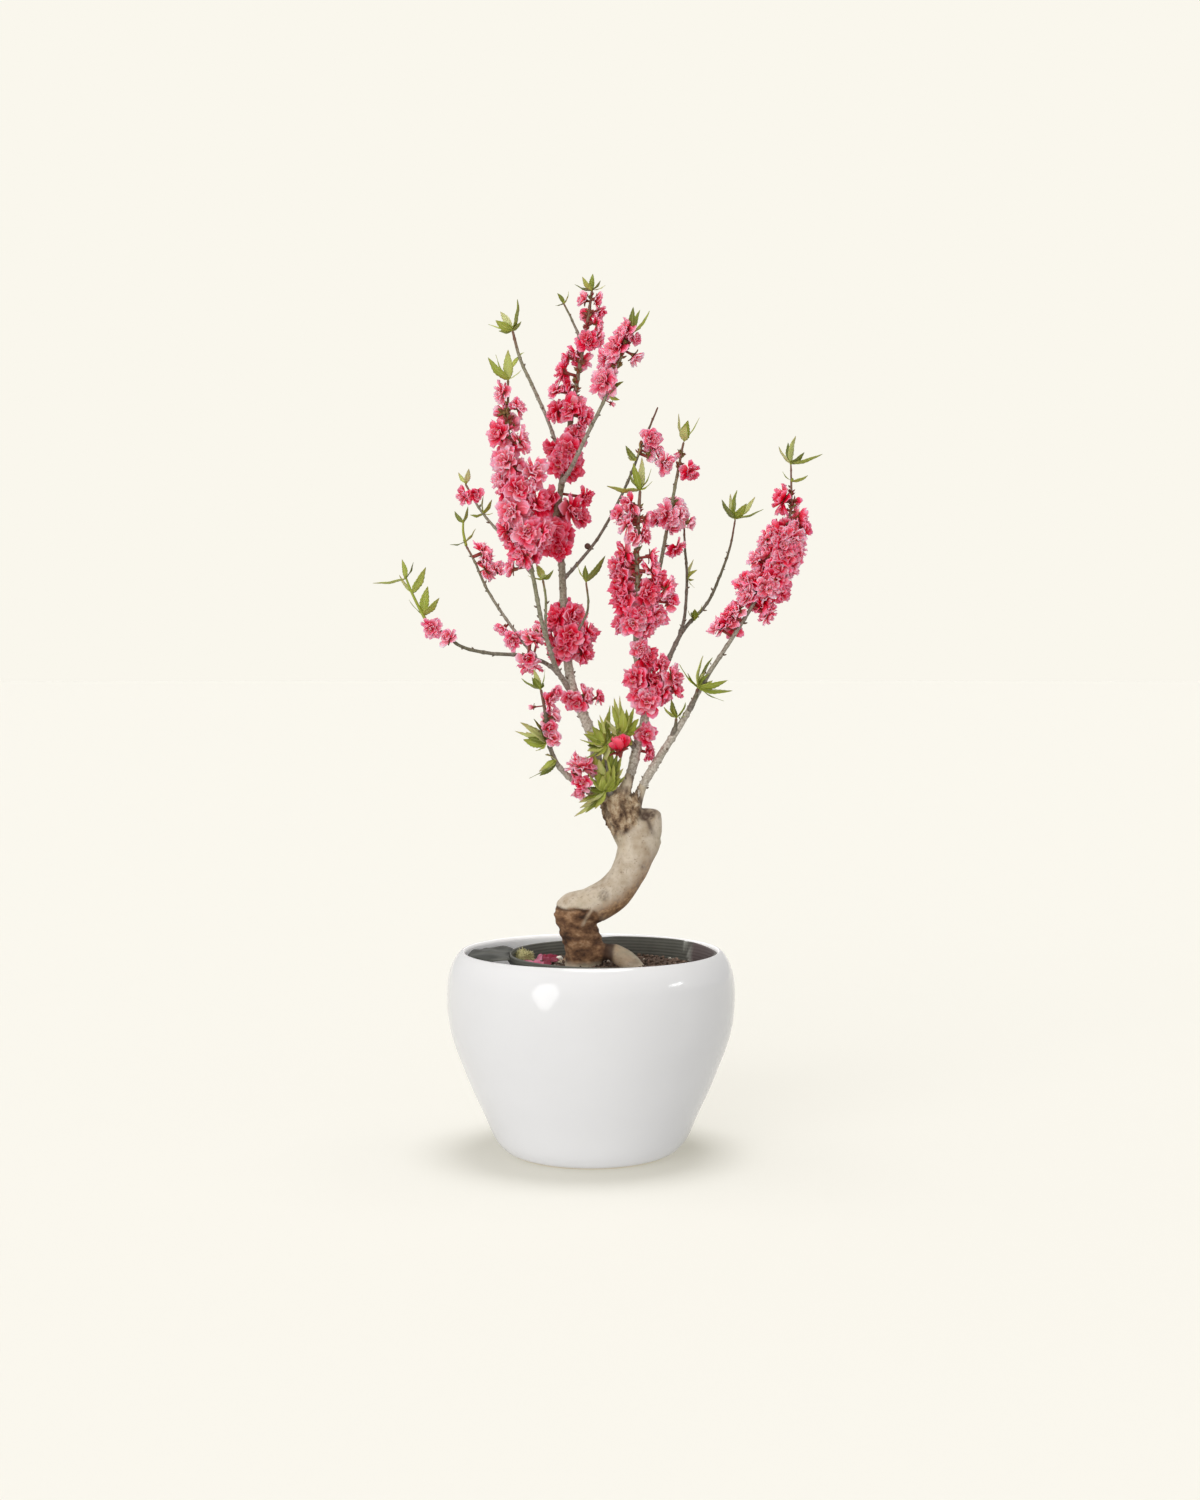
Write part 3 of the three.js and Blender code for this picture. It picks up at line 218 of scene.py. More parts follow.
# Sprays of double flowers: the CAD node, its limb, how pale its petals are and how little painted shade
# deepens them (0.5 is usual), and each flower's x, z, radius and side of the limb (-1 faces the viewer, 1 is
# behind, 0 beside it)
SPRAYS = {
    "bloom_left_column": ["left_column", 0.62, [
        [-95, 794, 12, -1], [-74, 780, 11, -1], [-97, 752, 16, -1], [-70, 746, 15, -1],
        [-91, 724, 16, -1], [-78, 714, 14, 1], [-74, 696, 16, -1], [-91, 698, 14, 1],
        [-84, 670, 17, -1], [-69, 664, 15, 1], [-66, 650, 17, -1], [-82, 637, 16, -1],
        [-74, 625, 15, -1], [-56, 714, 17, -1], [-52, 682, 17, -1], [-46, 647, 17, -1],
        [-97, 704, 12, 1], [-92, 651, 14, -1], [-62, 698, 12, 1], [-92, 774, 10, 1], [-58, 630, 13, 1],
        [-84, 738, 13, 1], [-66, 680, 13, 1], [-82, 764, 10, 1], [-84, 612, 10, 0],
    ]],
    "bloom_centre_top": ["left_scaffold", 0.5, [
        [-8, 890, 9, -1], [7, 890, 9, -1], [9, 866, 11, -1], [-2, 848, 12, -1], [-18, 834, 12, 1],
        [-32, 816, 12, 1], [-8, 826, 11, 1], [-39, 776, 14, -1], [-21, 779, 16, -1], [-3, 770, 15, -1],
        [-10, 758, 12, 1], [9, 850, 10, 0], [-24, 800, 9, 1], [-38, 798, 11, 0], [-3, 874, 9, 1],
        [10, 877, 8, 0], [-26, 830, 9, 0],
    ]],
    "bloom_centre_mid": ["left_scaffold", 0.22, [
        [-14, 752, 13, -1], [-40, 733, 15, -1], [-23, 734, 16, -1], [-34, 720, 14, -1],
        [-19, 716, 15, -1], [-16, 675, 18, -1], [-48, 683, 17, 0], [-34, 672, 13, 1],
        [-36, 653, 16, -1], [-32, 648, 14, 1], [-46, 641, 18, -1], [-34, 632, 13, -1],
        [-30, 662, 13, 1], [-4, 685, 11, 0], [-8, 666, 11, 0],
    ]],
    "bloom_right_top": ["right_top", 0.5, [
        [24, 844, 18, -1], [34, 861, 13, -1], [11, 807, 17, -1], [47, 831, 10, 0], [34, 846, 10, 1],
        [22, 783, 4.5, 0], [12, 830, 11, 0], [19, 822, 11, 1], [46, 850, 8, 0],
    ]],
    "bloom_mid_left": ["left_scaffold", 0.26, [
        [-37, 562, 14, -1], [-15, 563, 16, -1], [0, 547, 14, -1], [-50, 547, 14, -1],
        [-22, 543, 17, -1], [-4, 526, 14, -1], [-38, 522, 13, -1], [-20, 556, 14, 1], [-18, 526, 14, 1],
        [-42, 534, 12, 0], [-30, 530, 14, -1], [-6, 536, 14, -1], [-28, 571, 11, 1],
    ]],
    "bloom_arch_base": ["left_arch", 0.6, [
        [-64, 508, 13, -1], [-61, 543, 13, -1], [-66, 518, 10, -1], [-52, 548, 9, -1],
    ]],
    "bloom_arch_tip": ["left_arch", 0.4, [[-167, 550, 11, -1], [-149, 541, 10, -1]]],
    "bloom_second_low": ["left_second", 0.5, [[-92, 549, 9, -1], [-82, 537, 12, -1]]],
    "bloom_second_top": ["left_second", 0.6, [
        [-109, 631, 14, -1], [-106, 613, 13, -1], [-110, 622, 9, 1], [-97, 612, 9, 0],
    ]],
    "bloom_third": ["left_third", 0.6, [[-134, 687, 11, 0], [-120, 689, 9, -1]]],
    "bloom_low_left": ["low_left", 0.7, [
        [-40, 436, 10, -1], [-46, 456, 8, 1], [-41, 474, 11, -1], [-43, 447, 8, -1], [-36, 483, 8, -1],
        [-37, 459, 8, -1], [-61, 468, 5, 0],
    ]],
    "bloom_low_front": ["low_left", 0.5, [
        [-10, 410, 16, -1], [-10, 389, 11, -1], [-16, 402, 9, 0], [2, 403, 9, -1], [-13, 378, 8, -1],
    ]],
    "bloom_left_fork": ["left_scaffold", 0.6, [
        [-3, 480, 13, 0], [-22, 476, 11, -1], [-14, 472, 10, -1], [9, 478, 8, 0],
    ]],
    "bloom_low_mid": ["centre_scaffold", 0.3, [[58, 439, 12, -1], [62, 420, 11, -1]]],
    "bloom_centre_low": ["centre_scaffold", 0.42, [
        [60, 519, 15, -1], [44, 497, 14, -1], [68, 496, 16, -1], [88, 500, 14, 0], [59, 474, 15, -1],
        [80, 482, 13, 0], [57, 510, 13, 1], [52, 528, 11, -1], [76, 510, 12, -1], [50, 482, 13, -1],
        [90, 486, 10, 0], [72, 484, 13, -1],
    ]],
    "bloom_centre": ["centre_scaffold", 0.45, [
        [31, 626, 14, -1], [29, 600, 17, -1], [31, 573, 17, -1], [44, 554, 15, -1], [67, 611, 15, -1],
        [60, 584, 16, -1], [82, 590, 14, 0], [70, 563, 15, -1], [40, 612, 13, 1], [40, 578, 13, 1],
        [26, 586, 12, 0], [33, 588, 14, 1], [24, 614, 12, 0], [72, 600, 13, 0], [54, 566, 13, -1],
        [60, 548, 12, 0], [64, 624, 10, 1], [84, 578, 10, 0], [28, 556, 11, 0],
    ]],
    "bloom_centre_high": ["centre_scaffold", 0.66, [
        [38, 677, 13, -1], [34, 660, 13, -1], [58, 647, 11, -1], [58, 664, 8, 1], [44, 664, 10, 1],
        [27, 668, 9, 0], [44, 644, 10, -1],
    ]],
    "bloom_long_twig": ["long_twig", 0.5, [
        [63, 746, 13, -1], [79, 720, 13, -1], [62, 730, 8, 1], [70, 734, 9, 1],
    ]],
    "bloom_c": ["branch_c", 0.68, [
        [75, 668, 15, -1], [96, 666, 14, -1], [85, 680, 10, 1], [66, 664, 10, 0], [86, 656, 10, -1],
        [104, 659, 9, 0],
    ]],
    "bloom_c_low": ["branch_c", 0.68, [[91, 632, 11, -1]]],
    "bloom_c_top": ["branch_c", 0.6, [[105, 711, 11, 0], [92, 731, 7, 0]]],
    "bloom_f_top": ["branch_f", 0.5, [
        [195, 684, 16, -1], [220, 664, 13, -1], [213, 682, 7, 1], [224, 656, 9, 0],
    ]],
    "bloom_f": ["branch_f", 0.58, [
        [192, 647, 16, -1], [212, 641, 15, -1], [182, 629, 17, -1], [204, 625, 16, -1],
        [171, 606, 17, -1], [194, 601, 16, -1], [160, 587, 15, -1], [185, 576, 15, 0],
        [150, 571, 14, -1], [168, 590, 12, 1], [138, 557, 14, -1], [148, 552, 12, 1],
        [180, 644, 13, -1], [200, 636, 14, -1], [196, 614, 14, -1], [158, 600, 12, 0],
        [184, 592, 14, -1], [130, 552, 10, 0], [204, 658, 11, 1], [219, 630, 11, 0], [187, 562, 11, 0],
        [170, 624, 12, 0], [211, 610, 12, 0], [182, 612, 14, 1], [202, 588, 12, 0], [172, 578, 12, 1],
        [142, 566, 12, 1],
    ]],
}

# A large bud that opens upwards before the low leaves: its spray, its limb, its foot and its tip
# as x, z and y, and its size
SINGLE_BUD = ("bloom_low_mid", "spur_front", (30, 421, -44), (25, 452, -50), 15)

# Sprays with the paler petals
PALE_SPRAYS = ("bloom_right_top", "bloom_arch_tip", "bloom_second_low", "bloom_c", "bloom_long_twig")

# Clumps of scales and spent cups along the flowering stems: x, z and size
CLUMPS = {
    "bloom_left_column": [[-87, 780, 3.2], [-87, 770, 3.6], [-86, 760, 3.2], [-85, 750, 2.8]],
    "bloom_centre_top": [
        [1, 890, 2.6], [-2, 874, 3], [-4, 862, 3], [-11, 824, 3], [-13, 814, 3.4], [-15, 804, 3.4],
        [-16, 795, 3],
    ],
    "bloom_right_top": [[41, 852, 3], [37, 842, 3.4], [32, 832, 3.4], [27, 822, 3], [21, 808, 2.6]],
    "bloom_centre_high": [[50, 672, 3], [49, 662, 3.4], [48, 652, 3.2], [48, 641, 3]],
    "bloom_centre": [[47, 628, 3.2], [48, 617, 3.4], [48, 605, 3.2], [49, 594, 2.8]],
    "bloom_long_twig": [[57, 748, 2.6], [53, 738, 3], [50, 730, 3]],
    "bloom_c_top": [[94, 728, 2.8], [92, 718, 2.8]],
    "bloom_f_top": [[208, 690, 2.8], [208, 680, 3], [207, 670, 3]],
    "bloom_mid_left": [[-26, 533, 3], [-25, 522, 3]],
}

# Tufts of leaves: the foot as x, z and depth y, how many small leaves fill it, then each tip's x and z,
# its depth beyond the foot, which LEAF_SPREAD stretches, and the leaf's greatest width
LEAF_SPREAD = 1.5
TUFTS = {
    "leaf_top": [[1, 900, 30], 0, [
        [-9, 914, -6, 4], [2, 917, 3, 4], [10, 910, -6, 4], [15, 905, 8, 4], [-17, 906, 8, 4],
    ]],
    "leaf_left_top": [[-86, 808, -58], 0, [
        [-107, 831, -4, 6], [-99, 834, 6, 6], [-86, 839, -3, 6], [-72, 818, 6, 3], [-84, 832, 16, 5],
    ]],
    "leaf_twig_top": [[-82, 859, 58], 0, [
        [-76, 891, -4, 8], [-99, 869, -3, 6], [-107, 865, 8, 3], [-94, 878, 8, 5], [-96, 858, 3, 5],
        [-72, 868, 6, 4],
    ]],
    "leaf_twig_side": [[-75, 831, 56], 0, [[-85, 816, -3, 3], [-69, 836, 4, 3]]],
    "leaf_small_twig": [[-28, 887, 20], 0, [[-35, 897, -3, 3], [-23, 899, 3, 4], [-37, 884, 4, 3]]],
    "leaf_right_top": [[44, 857, -16], 0, [
        [44, 883, -4, 6], [61, 879, 3, 5], [54, 868, -6, 4], [51, 880, 6, 4],
    ]],
    "leaf_right_mid": [[18.4, 793, -14], 0, [[34, 806, -5, 5], [30, 787, 3, 4]]],
    "leaf_thin_twig": [[-5, 599, -14], 0, [[15, 626, -4, 6], [-15, 618, -3, 4], [-6, 616, 6, 4]]],
    "leaf_long_twig": [[47, 724, 40], 0, [[51, 745, -6, 5], [36, 740, 4, 5], [38, 728, 2, 4]]],
    "leaf_third": [[-112, 669, -27], 0, [
        [-103, 684, -4, 4], [-112, 688, 3, 4], [-102, 670, 4, 3], [-126, 668, -3, 4],
    ]],
    "leaf_third_top": [[-130, 701, -20], 0, [[-127, 716, -3, 4], [-138, 712, 4, 4]]],
    "leaf_low_left": [[-53, 487, -50], 3, [[-73, 498, -4, 5], [-60, 508, 5, 4], [-48, 508, -4, 4]]],
    "leaf_low_mid": [[-47, 431, -46], 4, [
        [-74, 452, -6, 8], [-71, 434, 3, 7], [-80, 443, 8, 3], [-60, 456, -4, 6], [-58, 422, -5, 6],
    ]],
    "leaf_droop": [[-37, 412, -38], 2, [[-65, 393, -6, 6], [-54, 396, 4, 5], [-48, 418, -8, 5]]],
    "leaf_bright": [[51, 694, -28], 2, [
        [44, 722, -5, 6], [63, 716, 2, 6], [16, 698, -5, 7], [53, 728, 5, 6], [40, 711, 9, 5],
        [64, 703, -6, 4],
    ]],
    "leaf_c_top": [[97, 745, 58], 0, [
        [91, 773, -4, 5], [101, 766, 5, 7], [113, 769, 2, 4], [99, 761, -6, 6],
    ]],
    "leaf_d": [[100, 603, 54], 1, [[111, 611, -4, 3], [108, 592, -2, 3], [107, 622, 3, 3]]],
    "leaf_d_top": [[97, 656, 64], 0, [[92, 668, -3, 3], [101, 669, 3, 3]]],
    "leaf_e_top": [[150, 664, 76], 0, [
        [136, 684, -5, 7], [152, 694, -2, 8], [171, 687, 3, 6], [180, 674, -4, 5], [145, 690, 9, 6],
        [162, 680, -9, 6],
    ]],
    "leaf_e_low": [[108, 559, 43], 2, [[116, 575, -5, 4], [101, 569, -4, 3]]],
    "leaf_f_top": [[208, 721, -48], 0, [
        [195, 739, -4, 5], [213, 750, 2, 6], [241, 731, -3, 5], [205, 743, 8, 5], [222, 733, -8, 5],
    ]],
    "leaf_f_side": [[209, 703, -49], 0, [[226, 709, -3, 4], [199, 713, 3, 4]]],
    "leaf_f_mid": [[112, 488, -33], 4, [
        [92, 513, -5, 6], [117, 522, -3, 7], [127, 520, 6, 6], [148, 485, -4, 6], [139, 474, 3, 5],
        [143, 496, -8, 6],
    ]],
    "leaf_f_low": [[89, 457, -25], 2, [
        [76, 468, -3, 5], [84, 476, 5, 5], [99, 473, -5, 5], [105, 462, 3, 4],
    ]],
    "leaf_column_foot": [[-50, 602, -42], 2, [[-66, 605, -6, 5], [-39, 611, -5, 5], [-57, 617, 4, 5]]],
    "leaf_low_spur": [[14, 430, -28], 8, [
        [-4, 428, -5, 7], [7, 455, -2, 7], [18, 463, 5, 7], [29, 454, -4, 7], [-5, 443, 6, 6],
        [-6, 414, -4, 6], [-12, 434, -6, 6], [-4, 422, -9, 7], [5, 416, -8, 7], [16, 412, -10, 7],
        [25, 418, -6, 6], [20, 470, 0, 4], [9, 460, -6, 6], [30, 446, -8, 6], [1, 448, 4, 6],
        [-8, 440, 3, 5], [12, 440, -12, 6], [22, 436, -10, 5],
    ]],
    "leaf_front_spur": [[33.7, 441, -32.5], 8, [
        [24, 478, -3, 4], [37, 466, -5, 6], [50, 456, -7, 7], [18, 446, -6, 6], [45, 468, 3, 5],
        [22, 470, -4, 5], [30, 480, -5, 3], [27, 430, -8, 6], [43, 428, -8, 6], [53, 449, -4, 5],
        [14, 456, -4, 5], [40, 458, -8, 7], [26, 460, 2, 6], [33, 466, -8, 6], [20, 434, -8, 6],
        [46, 440, -10, 5],
    ]],
    "leaf_head": [[14, 381, -20], 14, [
        [-6, 357, -5, 7], [-18, 353, 4, 6], [-13, 368, -6, 6], [29, 398, -7, 7], [30, 413, -3, 6],
        [8, 400, -8, 6], [2, 420, -6, 7], [8, 414, -9, 7], [16, 418, -6, 7], [-3, 399, -8, 6],
        [-5, 384, -8, 6], [18, 402, -10, 6], [-9, 372, -6, 6], [-12, 362, 2, 5], [4, 361, -10, 6],
        [28, 420, -9, 6], [34, 404, -7, 5], [26, 388, -10, 5], [-6, 366, -12, 5], [12, 396, -12, 6],
        [22, 424, -8, 7], [32, 416, -6, 7], [24, 408, -11, 8], [31, 394, -9, 7], [20, 396, -13, 8],
        [17, 426, -4, 7], [36, 396, -5, 6],
    ]],
}

# Green shoots that carry their own tufts: the stem's points, then the tufts
SHOOTS = {
    "leaf_arch": [
        [[-172, 558, -40, 1.7], [-181, 575, -41, 1.5], [-188, 590, -42, 1.3], [-193, 603, -42, 1]],
        [
            [[-175, 564, -40], [[-158, 582, -4, 6], [-170, 594, 4, 6], [-190, 580, 5, 4]]],
            [[-186, 587, -42], [[-172, 614, -5, 6], [-179, 606, 6, 5], [-200, 606, 4, 4]]],
            [[-193, 602, -42], [[-228, 597, -3, 4], [-197, 622, 2, 4], [-185, 619, -4, 4]]],
        ],
    ],
    "leaf_second": [
        [[-130, 636, 36, 1.6], [-133, 650, 37, 1.3], [-133, 661, 38, 1]],
        [
            [[-131, 640, 36], [[-147, 637, -4, 4], [-120, 654, 5, 4]]],
            [[-133, 660, 38], [[-142, 672, 4, 4], [-128, 677, -2, 4]]],
        ],
    ],
}


class Limb:
    """A limb's smooth centre line, its radius and its heading at any place u from 0 to 1."""

    def __init__(self, points):
        self.centres = [seen(x, z, y) for x, z, y, radius in points]
        self.radii = [radius * MM for x, z, y, radius in points]
        self.spans = len(points) - 1

    def span(self, u):
        """The span that u lies in, and how far along it u is."""
        place = clamp(u) * self.spans
        i = min(int(place), self.spans - 1)
        return i, place - i

    def point(self, u):
        i, t = self.span(u)
        start, end = self.centres[i], self.centres[i + 1]
        before = self.centres[i - 1] if i > 0 else 2 * start - end
        after = self.centres[i + 2] if i + 2 <= self.spans else 2 * end - start
        return glide(before, start, end, after, t)

    def radius(self, u):
        i, t = self.span(u)
        return self.radii[i] + (self.radii[i + 1] - self.radii[i]) * t

    def heading(self, u):
        """The way the limb runs at u."""
        step = 0.01 / self.spans
        return (self.point(u + step) - self.point(u - step)).normalized()

    def rings(self, steps):
        """A centre, a heading and a radius at even steps along the limb."""
        shares = [i / steps for i in range(steps + 1)]
        return [(self.point(u), self.heading(u), self.radius(u)) for u in shares]

    def length(self):
        steps = self.spans * 8
        points = [self.point(i / steps) for i in range(steps + 1)]
        return sum((b - a).length for a, b in zip(points, points[1:]))

    def nearest(self, x, z):
        """The place that is drawn nearest to x, z: its distance, u and point."""
        steps = self.spans * 12
        best = (math.inf, 0, None)
        for i in range(steps + 1):
            point = self.point(i / steps)
            stretch = (point.y - EYE.y) / -EYE.y
            drawn_x = EYE.x + (point.x - EYE.x) / stretch
            drawn_z = EYE.z + (point.z - EYE.z) / stretch
            distance = math.hypot(drawn_x - x * MM, drawn_z - z * MM)
            if distance < best[0]:
                best = (distance, i / steps, point)
        return best


LINES = {name: Limb(points) for name, points in LIMBS.items()}


# Mesh helpers

def new_bmesh():
    """An empty mesh whose points carry a tint that the materials read."""
    bm = bmesh.new()
    bm.verts.layers.float_color.new("tint")
    return bm


def new_sheet():
    """An empty mesh that also carries the map that petals and leaves have across them."""
    bm = new_bmesh()
    bm.loops.layers.uv.new("petal")
    return bm


def paint(bm, tint, material=0):
    """Give every point of a mesh one tint, and every face one material."""
    layer = bm.verts.layers.float_color["tint"]
    for v in bm.verts:
        v[layer] = tint
    for face in bm.faces:
        face.material_index = material


def add_mesh(bm, mesh, matrix=Matrix.Identity(4), tint=None):
    """Add a copy of a shape to bm, placed by matrix, with its points recoloured by tint(old)."""
    copy = mesh.copy()
    copy.transform(matrix)
    if tint:
        for point in copy.attributes["tint"].data:
            point.color = tint(point.color)
    bm.from_mesh(copy)
    bpy.data.meshes.remove(copy)


def to_mesh(bm, name):
    """Turn a bmesh into a smooth-shaded mesh, and free it."""
    mesh = bpy.data.meshes.new(name)
    bm.to_mesh(mesh)
    bm.free()
    mesh.shade_smooth()
    return mesh


def add_object(name, data):
    """An object in the scene that carries a mesh, a lamp or a lens."""
    thing = bpy.data.objects.new(name, data)
    bpy.context.scene.collection.objects.link(thing)
    return thing


def make_piece(name, bm, materials, slot, *nodes):
    """A finished piece: in the scene, on the root body, in place of its CAD nodes."""
    piece = add_object(name, to_mesh(bm, name))
    for material in materials:
        piece.data.materials.append(material)
    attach(piece, "root")
    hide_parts(*nodes)


def facing(centre, x_axis, y_axis, z_axis):
    """A matrix that takes a shape's own axes to three directions at a centre."""
    matrix = Matrix((x_axis, y_axis, z_axis)).transposed().to_4x4()
    matrix.translation = centre
    return matrix


def sized(x, y, z):
    """A matrix that takes a shape of unit size to a size in millimetres."""
    return Matrix.Diagonal((x, y, z, 1 / MM)) * MM


def upright(centre, up, scale=1.0, turn=0.0):
    """A matrix that stands a shape's Z axis along up."""
    side = Vector((0.3, 0.2, 1)).cross(up).normalized()
    matrix = facing(centre, side, up.cross(side), up)
    return matrix @ Matrix.Rotation(turn, 4, "Z") @ Matrix.Scale(scale, 4)


def tube(bm, places, sides, tint, material=0):
    """Add a closed tube through places, each a centre, a heading and a radius. tint(i) colours ring i."""
    shell = new_bmesh()
    layer = shell.verts.layers.float_color["tint"]
    ring = bmesh.ops.create_circle(shell, cap_ends=False, radius=1, segments=sides)["verts"]
    edges = shell.edges[:]
    ends = [edges]
    side = Vector((0, 1, 0))
    last = Matrix.Identity(4)
    for i, (centre, heading, radius) in enumerate(places):
        side = (side - heading * side.dot(heading)).normalized()
        matrix = facing(centre, side, heading.cross(side), heading) @ Matrix.Scale(radius, 4)
        if i > 0:
            new = bmesh.ops.extrude_edge_only(shell, edges=edges)["geom"]
            ring = [g for g in new if isinstance(g, bmesh.types.BMVert)]
            on_ring = set(ring)
            edges = [g for g in new if isinstance(g, bmesh.types.BMEdge) and on_ring.issuperset(g.verts)]
        bmesh.ops.transform(shell, matrix=matrix @ last.inverted(), verts=ring)
        last = matrix
        for v in ring:
            v[layer] = tint(i)
    ends.append(edges)
    for edges in ends:
        bmesh.ops.edgeloop_fill(shell, edges=edges)
    bmesh.ops.recalc_face_normals(shell, faces=shell.faces)
    for face in shell.faces:
        face.material_index = material
    add_mesh(bm, to_mesh(shell, "tube"))


def spin_profile(bm, profile, steps):
    """Add a shell turned round the Z axis from a profile of radius and height in millimetres."""
    shell = new_bmesh()
    points = [shell.verts.new((radius * MM, 0, height * MM)) for radius, height in profile]
    edges = [shell.edges.new(pair) for pair in zip(points, points[1:])]
    bmesh.ops.spin(
        shell, geom=points + edges, cent=(0, 0, 0), axis=(0, 0, 1), angle=2 * math.pi, steps=steps,
        use_merge=True
    )
    bmesh.ops.remove_doubles(shell, verts=shell.verts, dist=0.02 * MM)
    bmesh.ops.recalc_face_normals(shell, faces=shell.faces)
    add_mesh(bm, to_mesh(shell, "shell"))


def rounded(points, steps):
    """A smooth run through profile points: each span gets a few steps, and corners given twice stay sharp."""
    run = []
    for i in range(len(points) - 1):
        p1, p2 = Vector(points[i]), Vector(points[i + 1])
        p0 = Vector(points[i - 1]) if i > 0 else p1
        p3 = Vector(points[i + 2]) if i + 2 < len(points) else p2
        if (p2 - p1).length < 1e-6:
            continue
        for k in range(steps):
            run.append(tuple(glide(p0, p1, p2, p3, k / steps)))
    run.append(tuple(points[-1]))
    return run


# Material helpers

class Finish:
    """A material being made: its shader, and the nodes that feed it."""

    def __init__(self, name, **sockets):
        self.material = bpy.data.materials.new(name)
        self.material.use_nodes = True
        self.tree = self.material.node_tree
        self.shader = self.tree.nodes["Principled BSDF"]
        for socket, value in sockets.items():
            self.shader.inputs[socket.replace("_", " ")].default_value = value

    def node(self, kind, **inputs):
        node = self.tree.nodes.new(kind)
        for socket, value in inputs.items():
            self.feed(node.inputs[socket.replace("_", " ")], value)
        return node

    def feed(self, socket, value):
        if isinstance(value, bpy.types.NodeSocket):
            self.tree.links.new(value, socket)
        else:
            socket.default_value = value

    def place(self, scale=(1, 1, 1)):
        """The piece's own coordinates, stretched."""
        coordinates = self.node("ShaderNodeTexCoord").outputs["Object"]
        return self.node("ShaderNodeMapping", Vector=coordinates, Scale=scale).outputs["Vector"]

    def across(self):
        """The map that petals and leaves have across them."""
        node = self.node("ShaderNodeUVMap")
        node.uv_map = "petal"
        return node.outputs["UV"]

    def channels(self, colour):
        return self.node("ShaderNodeSeparateColor", Color=colour).outputs

    def tint(self):
        """The three channels of the tint that the piece's points carry."""
        node = self.node("ShaderNodeAttribute")
        node.attribute_name = "tint"
        return self.channels(node.outputs["Color"])

    def noise(self, place, scale, detail=4.0, roughness=0.55):
        node = self.node("ShaderNodeTexNoise", Vector=place, Scale=scale, Detail=detail, Roughness=roughness)
        return node.outputs["Fac"]

    def ramp(self, value, *stops):
        """Colours or greys at positions from 0 to 1."""
        node = self.node("ShaderNodeValToRGB", Fac=value)
        elements = node.color_ramp.elements
        while len(elements) < len(stops):
            elements.new(0.5)
        for element, (position, colour) in zip(elements, stops):
            element.position = position
            element.color = colour if isinstance(colour, tuple) else (colour, colour, colour, 1)
        return node.outputs["Color"]

    def mix(self, share, first, second, mode="MIX"):
        node = self.tree.nodes.new("ShaderNodeMix")
        node.data_type = "RGBA"
        node.blend_type = mode
        self.feed(node.inputs[0], share)
        self.feed(node.inputs[6], first)
        self.feed(node.inputs[7], second)
        return node.outputs[2]

    def tinge(self, colour, mask, amount, other, mode="MIX"):
        """A colour with some of another in it, where the mask says."""
        return self.mix(self.math("MULTIPLY", mask, amount), colour, other, mode)

    def math(self, operation, first, second=0.0):
        node = self.tree.nodes.new("ShaderNodeMath")
        node.operation = operation
        self.feed(node.inputs[0], first)
        self.feed(node.inputs[1], second)
        return node.outputs[0]

    def colour(self, value):
        self.feed(self.shader.inputs["Base Color"], value)

    def rough(self, value):
        self.feed(self.shader.inputs["Roughness"], value)

    def relief(self, height, distance, strength=1.0):
        bump = self.node("ShaderNodeBump", Height=height, Distance=distance, Strength=strength)
        self.feed(self.shader.inputs["Normal"], bump.outputs["Normal"])


# Finishes

def glaze_finish():
    """White gloss glaze, a little grey where it runs thin, over bare clay under the foot, and painted light
    on the inner wall.
    """
    finish = Finish("white_glaze", IOR=1.45, Emission_Strength=0.12)
    place = finish.place()
    height = finish.channels(place)[2]
    cloud = finish.noise(place, 14, 3)
    glaze = finish.mix(cloud, srgb(215, 215, 216), srgb(221, 221, 222))
    clay = finish.mix(finish.noise(place, 900, 5), srgb(196, 184, 168), srgb(222, 212, 198))
    glazed = finish.math("GREATER_THAN", height, 1.2 * MM)
    # Painted light: the inner wall's glaze is made whiter and glows faintly, as if brightly lit.
    lit_inside = finish.tint()[0]
    glaze = finish.mix(lit_inside, glaze, srgb(250, 250, 250))
    finish.colour(finish.mix(glazed, clay, glaze))
    finish.rough(finish.mix(lit_inside, finish.ramp(glazed, (0.0, 0.8), (1.0, 0.1)), (0.5, 0.5, 0.5, 1)))
    painted_glow = finish.mix(lit_inside, (0, 0, 0, 1), (1, 1, 1, 1))
    finish.feed(finish.shader.inputs["Emission Color"], painted_glow)
    finish.relief(finish.noise(place, 40, 2), 0.0004, 0.25)
    return finish.material


def liner_finish():
    """Thin dark nursery plastic with fine moulded lines, a painted highlight on its crease, and painted
    shade.
    """
    finish = Finish("liner_plastic", IOR=1.45)
    place = finish.place()
    parts = finish.tint()
    lines = finish.node("ShaderNodeTexWave", Vector=place, Scale=95.0, Distortion=0.6, Detail=1.0)
    lines.wave_type = "BANDS"
    lines.bands_direction = "Z"
    dust = finish.noise(place, 60, 5)
    base = finish.mix(dust, srgb(50, 50, 45), srgb(84, 84, 76))
    base = finish.tinge(base, lines.outputs["Fac"], 0.3, srgb(116, 116, 106))
    # Painted shade: purple-grey on the wall past the crease, and dark on the flap, most in its crumples.
    base = finish.mix(parts[1], base, srgb(82, 67, 68))
    base = finish.tinge(base, parts[2], 0.8, srgb(30, 33, 26))
    # Painted highlight: pale along the crease, and a faint painted sheen on the flap's smooth middle.
    finish.colour(finish.tinge(base, parts[0], 0.7, srgb(168, 170, 162)))
    finish.rough(finish.ramp(dust, (0.2, 0.42), (0.8, 0.62)))
    finish.relief(lines.outputs["Fac"], 0.0003, 0.6)
    return finish.material


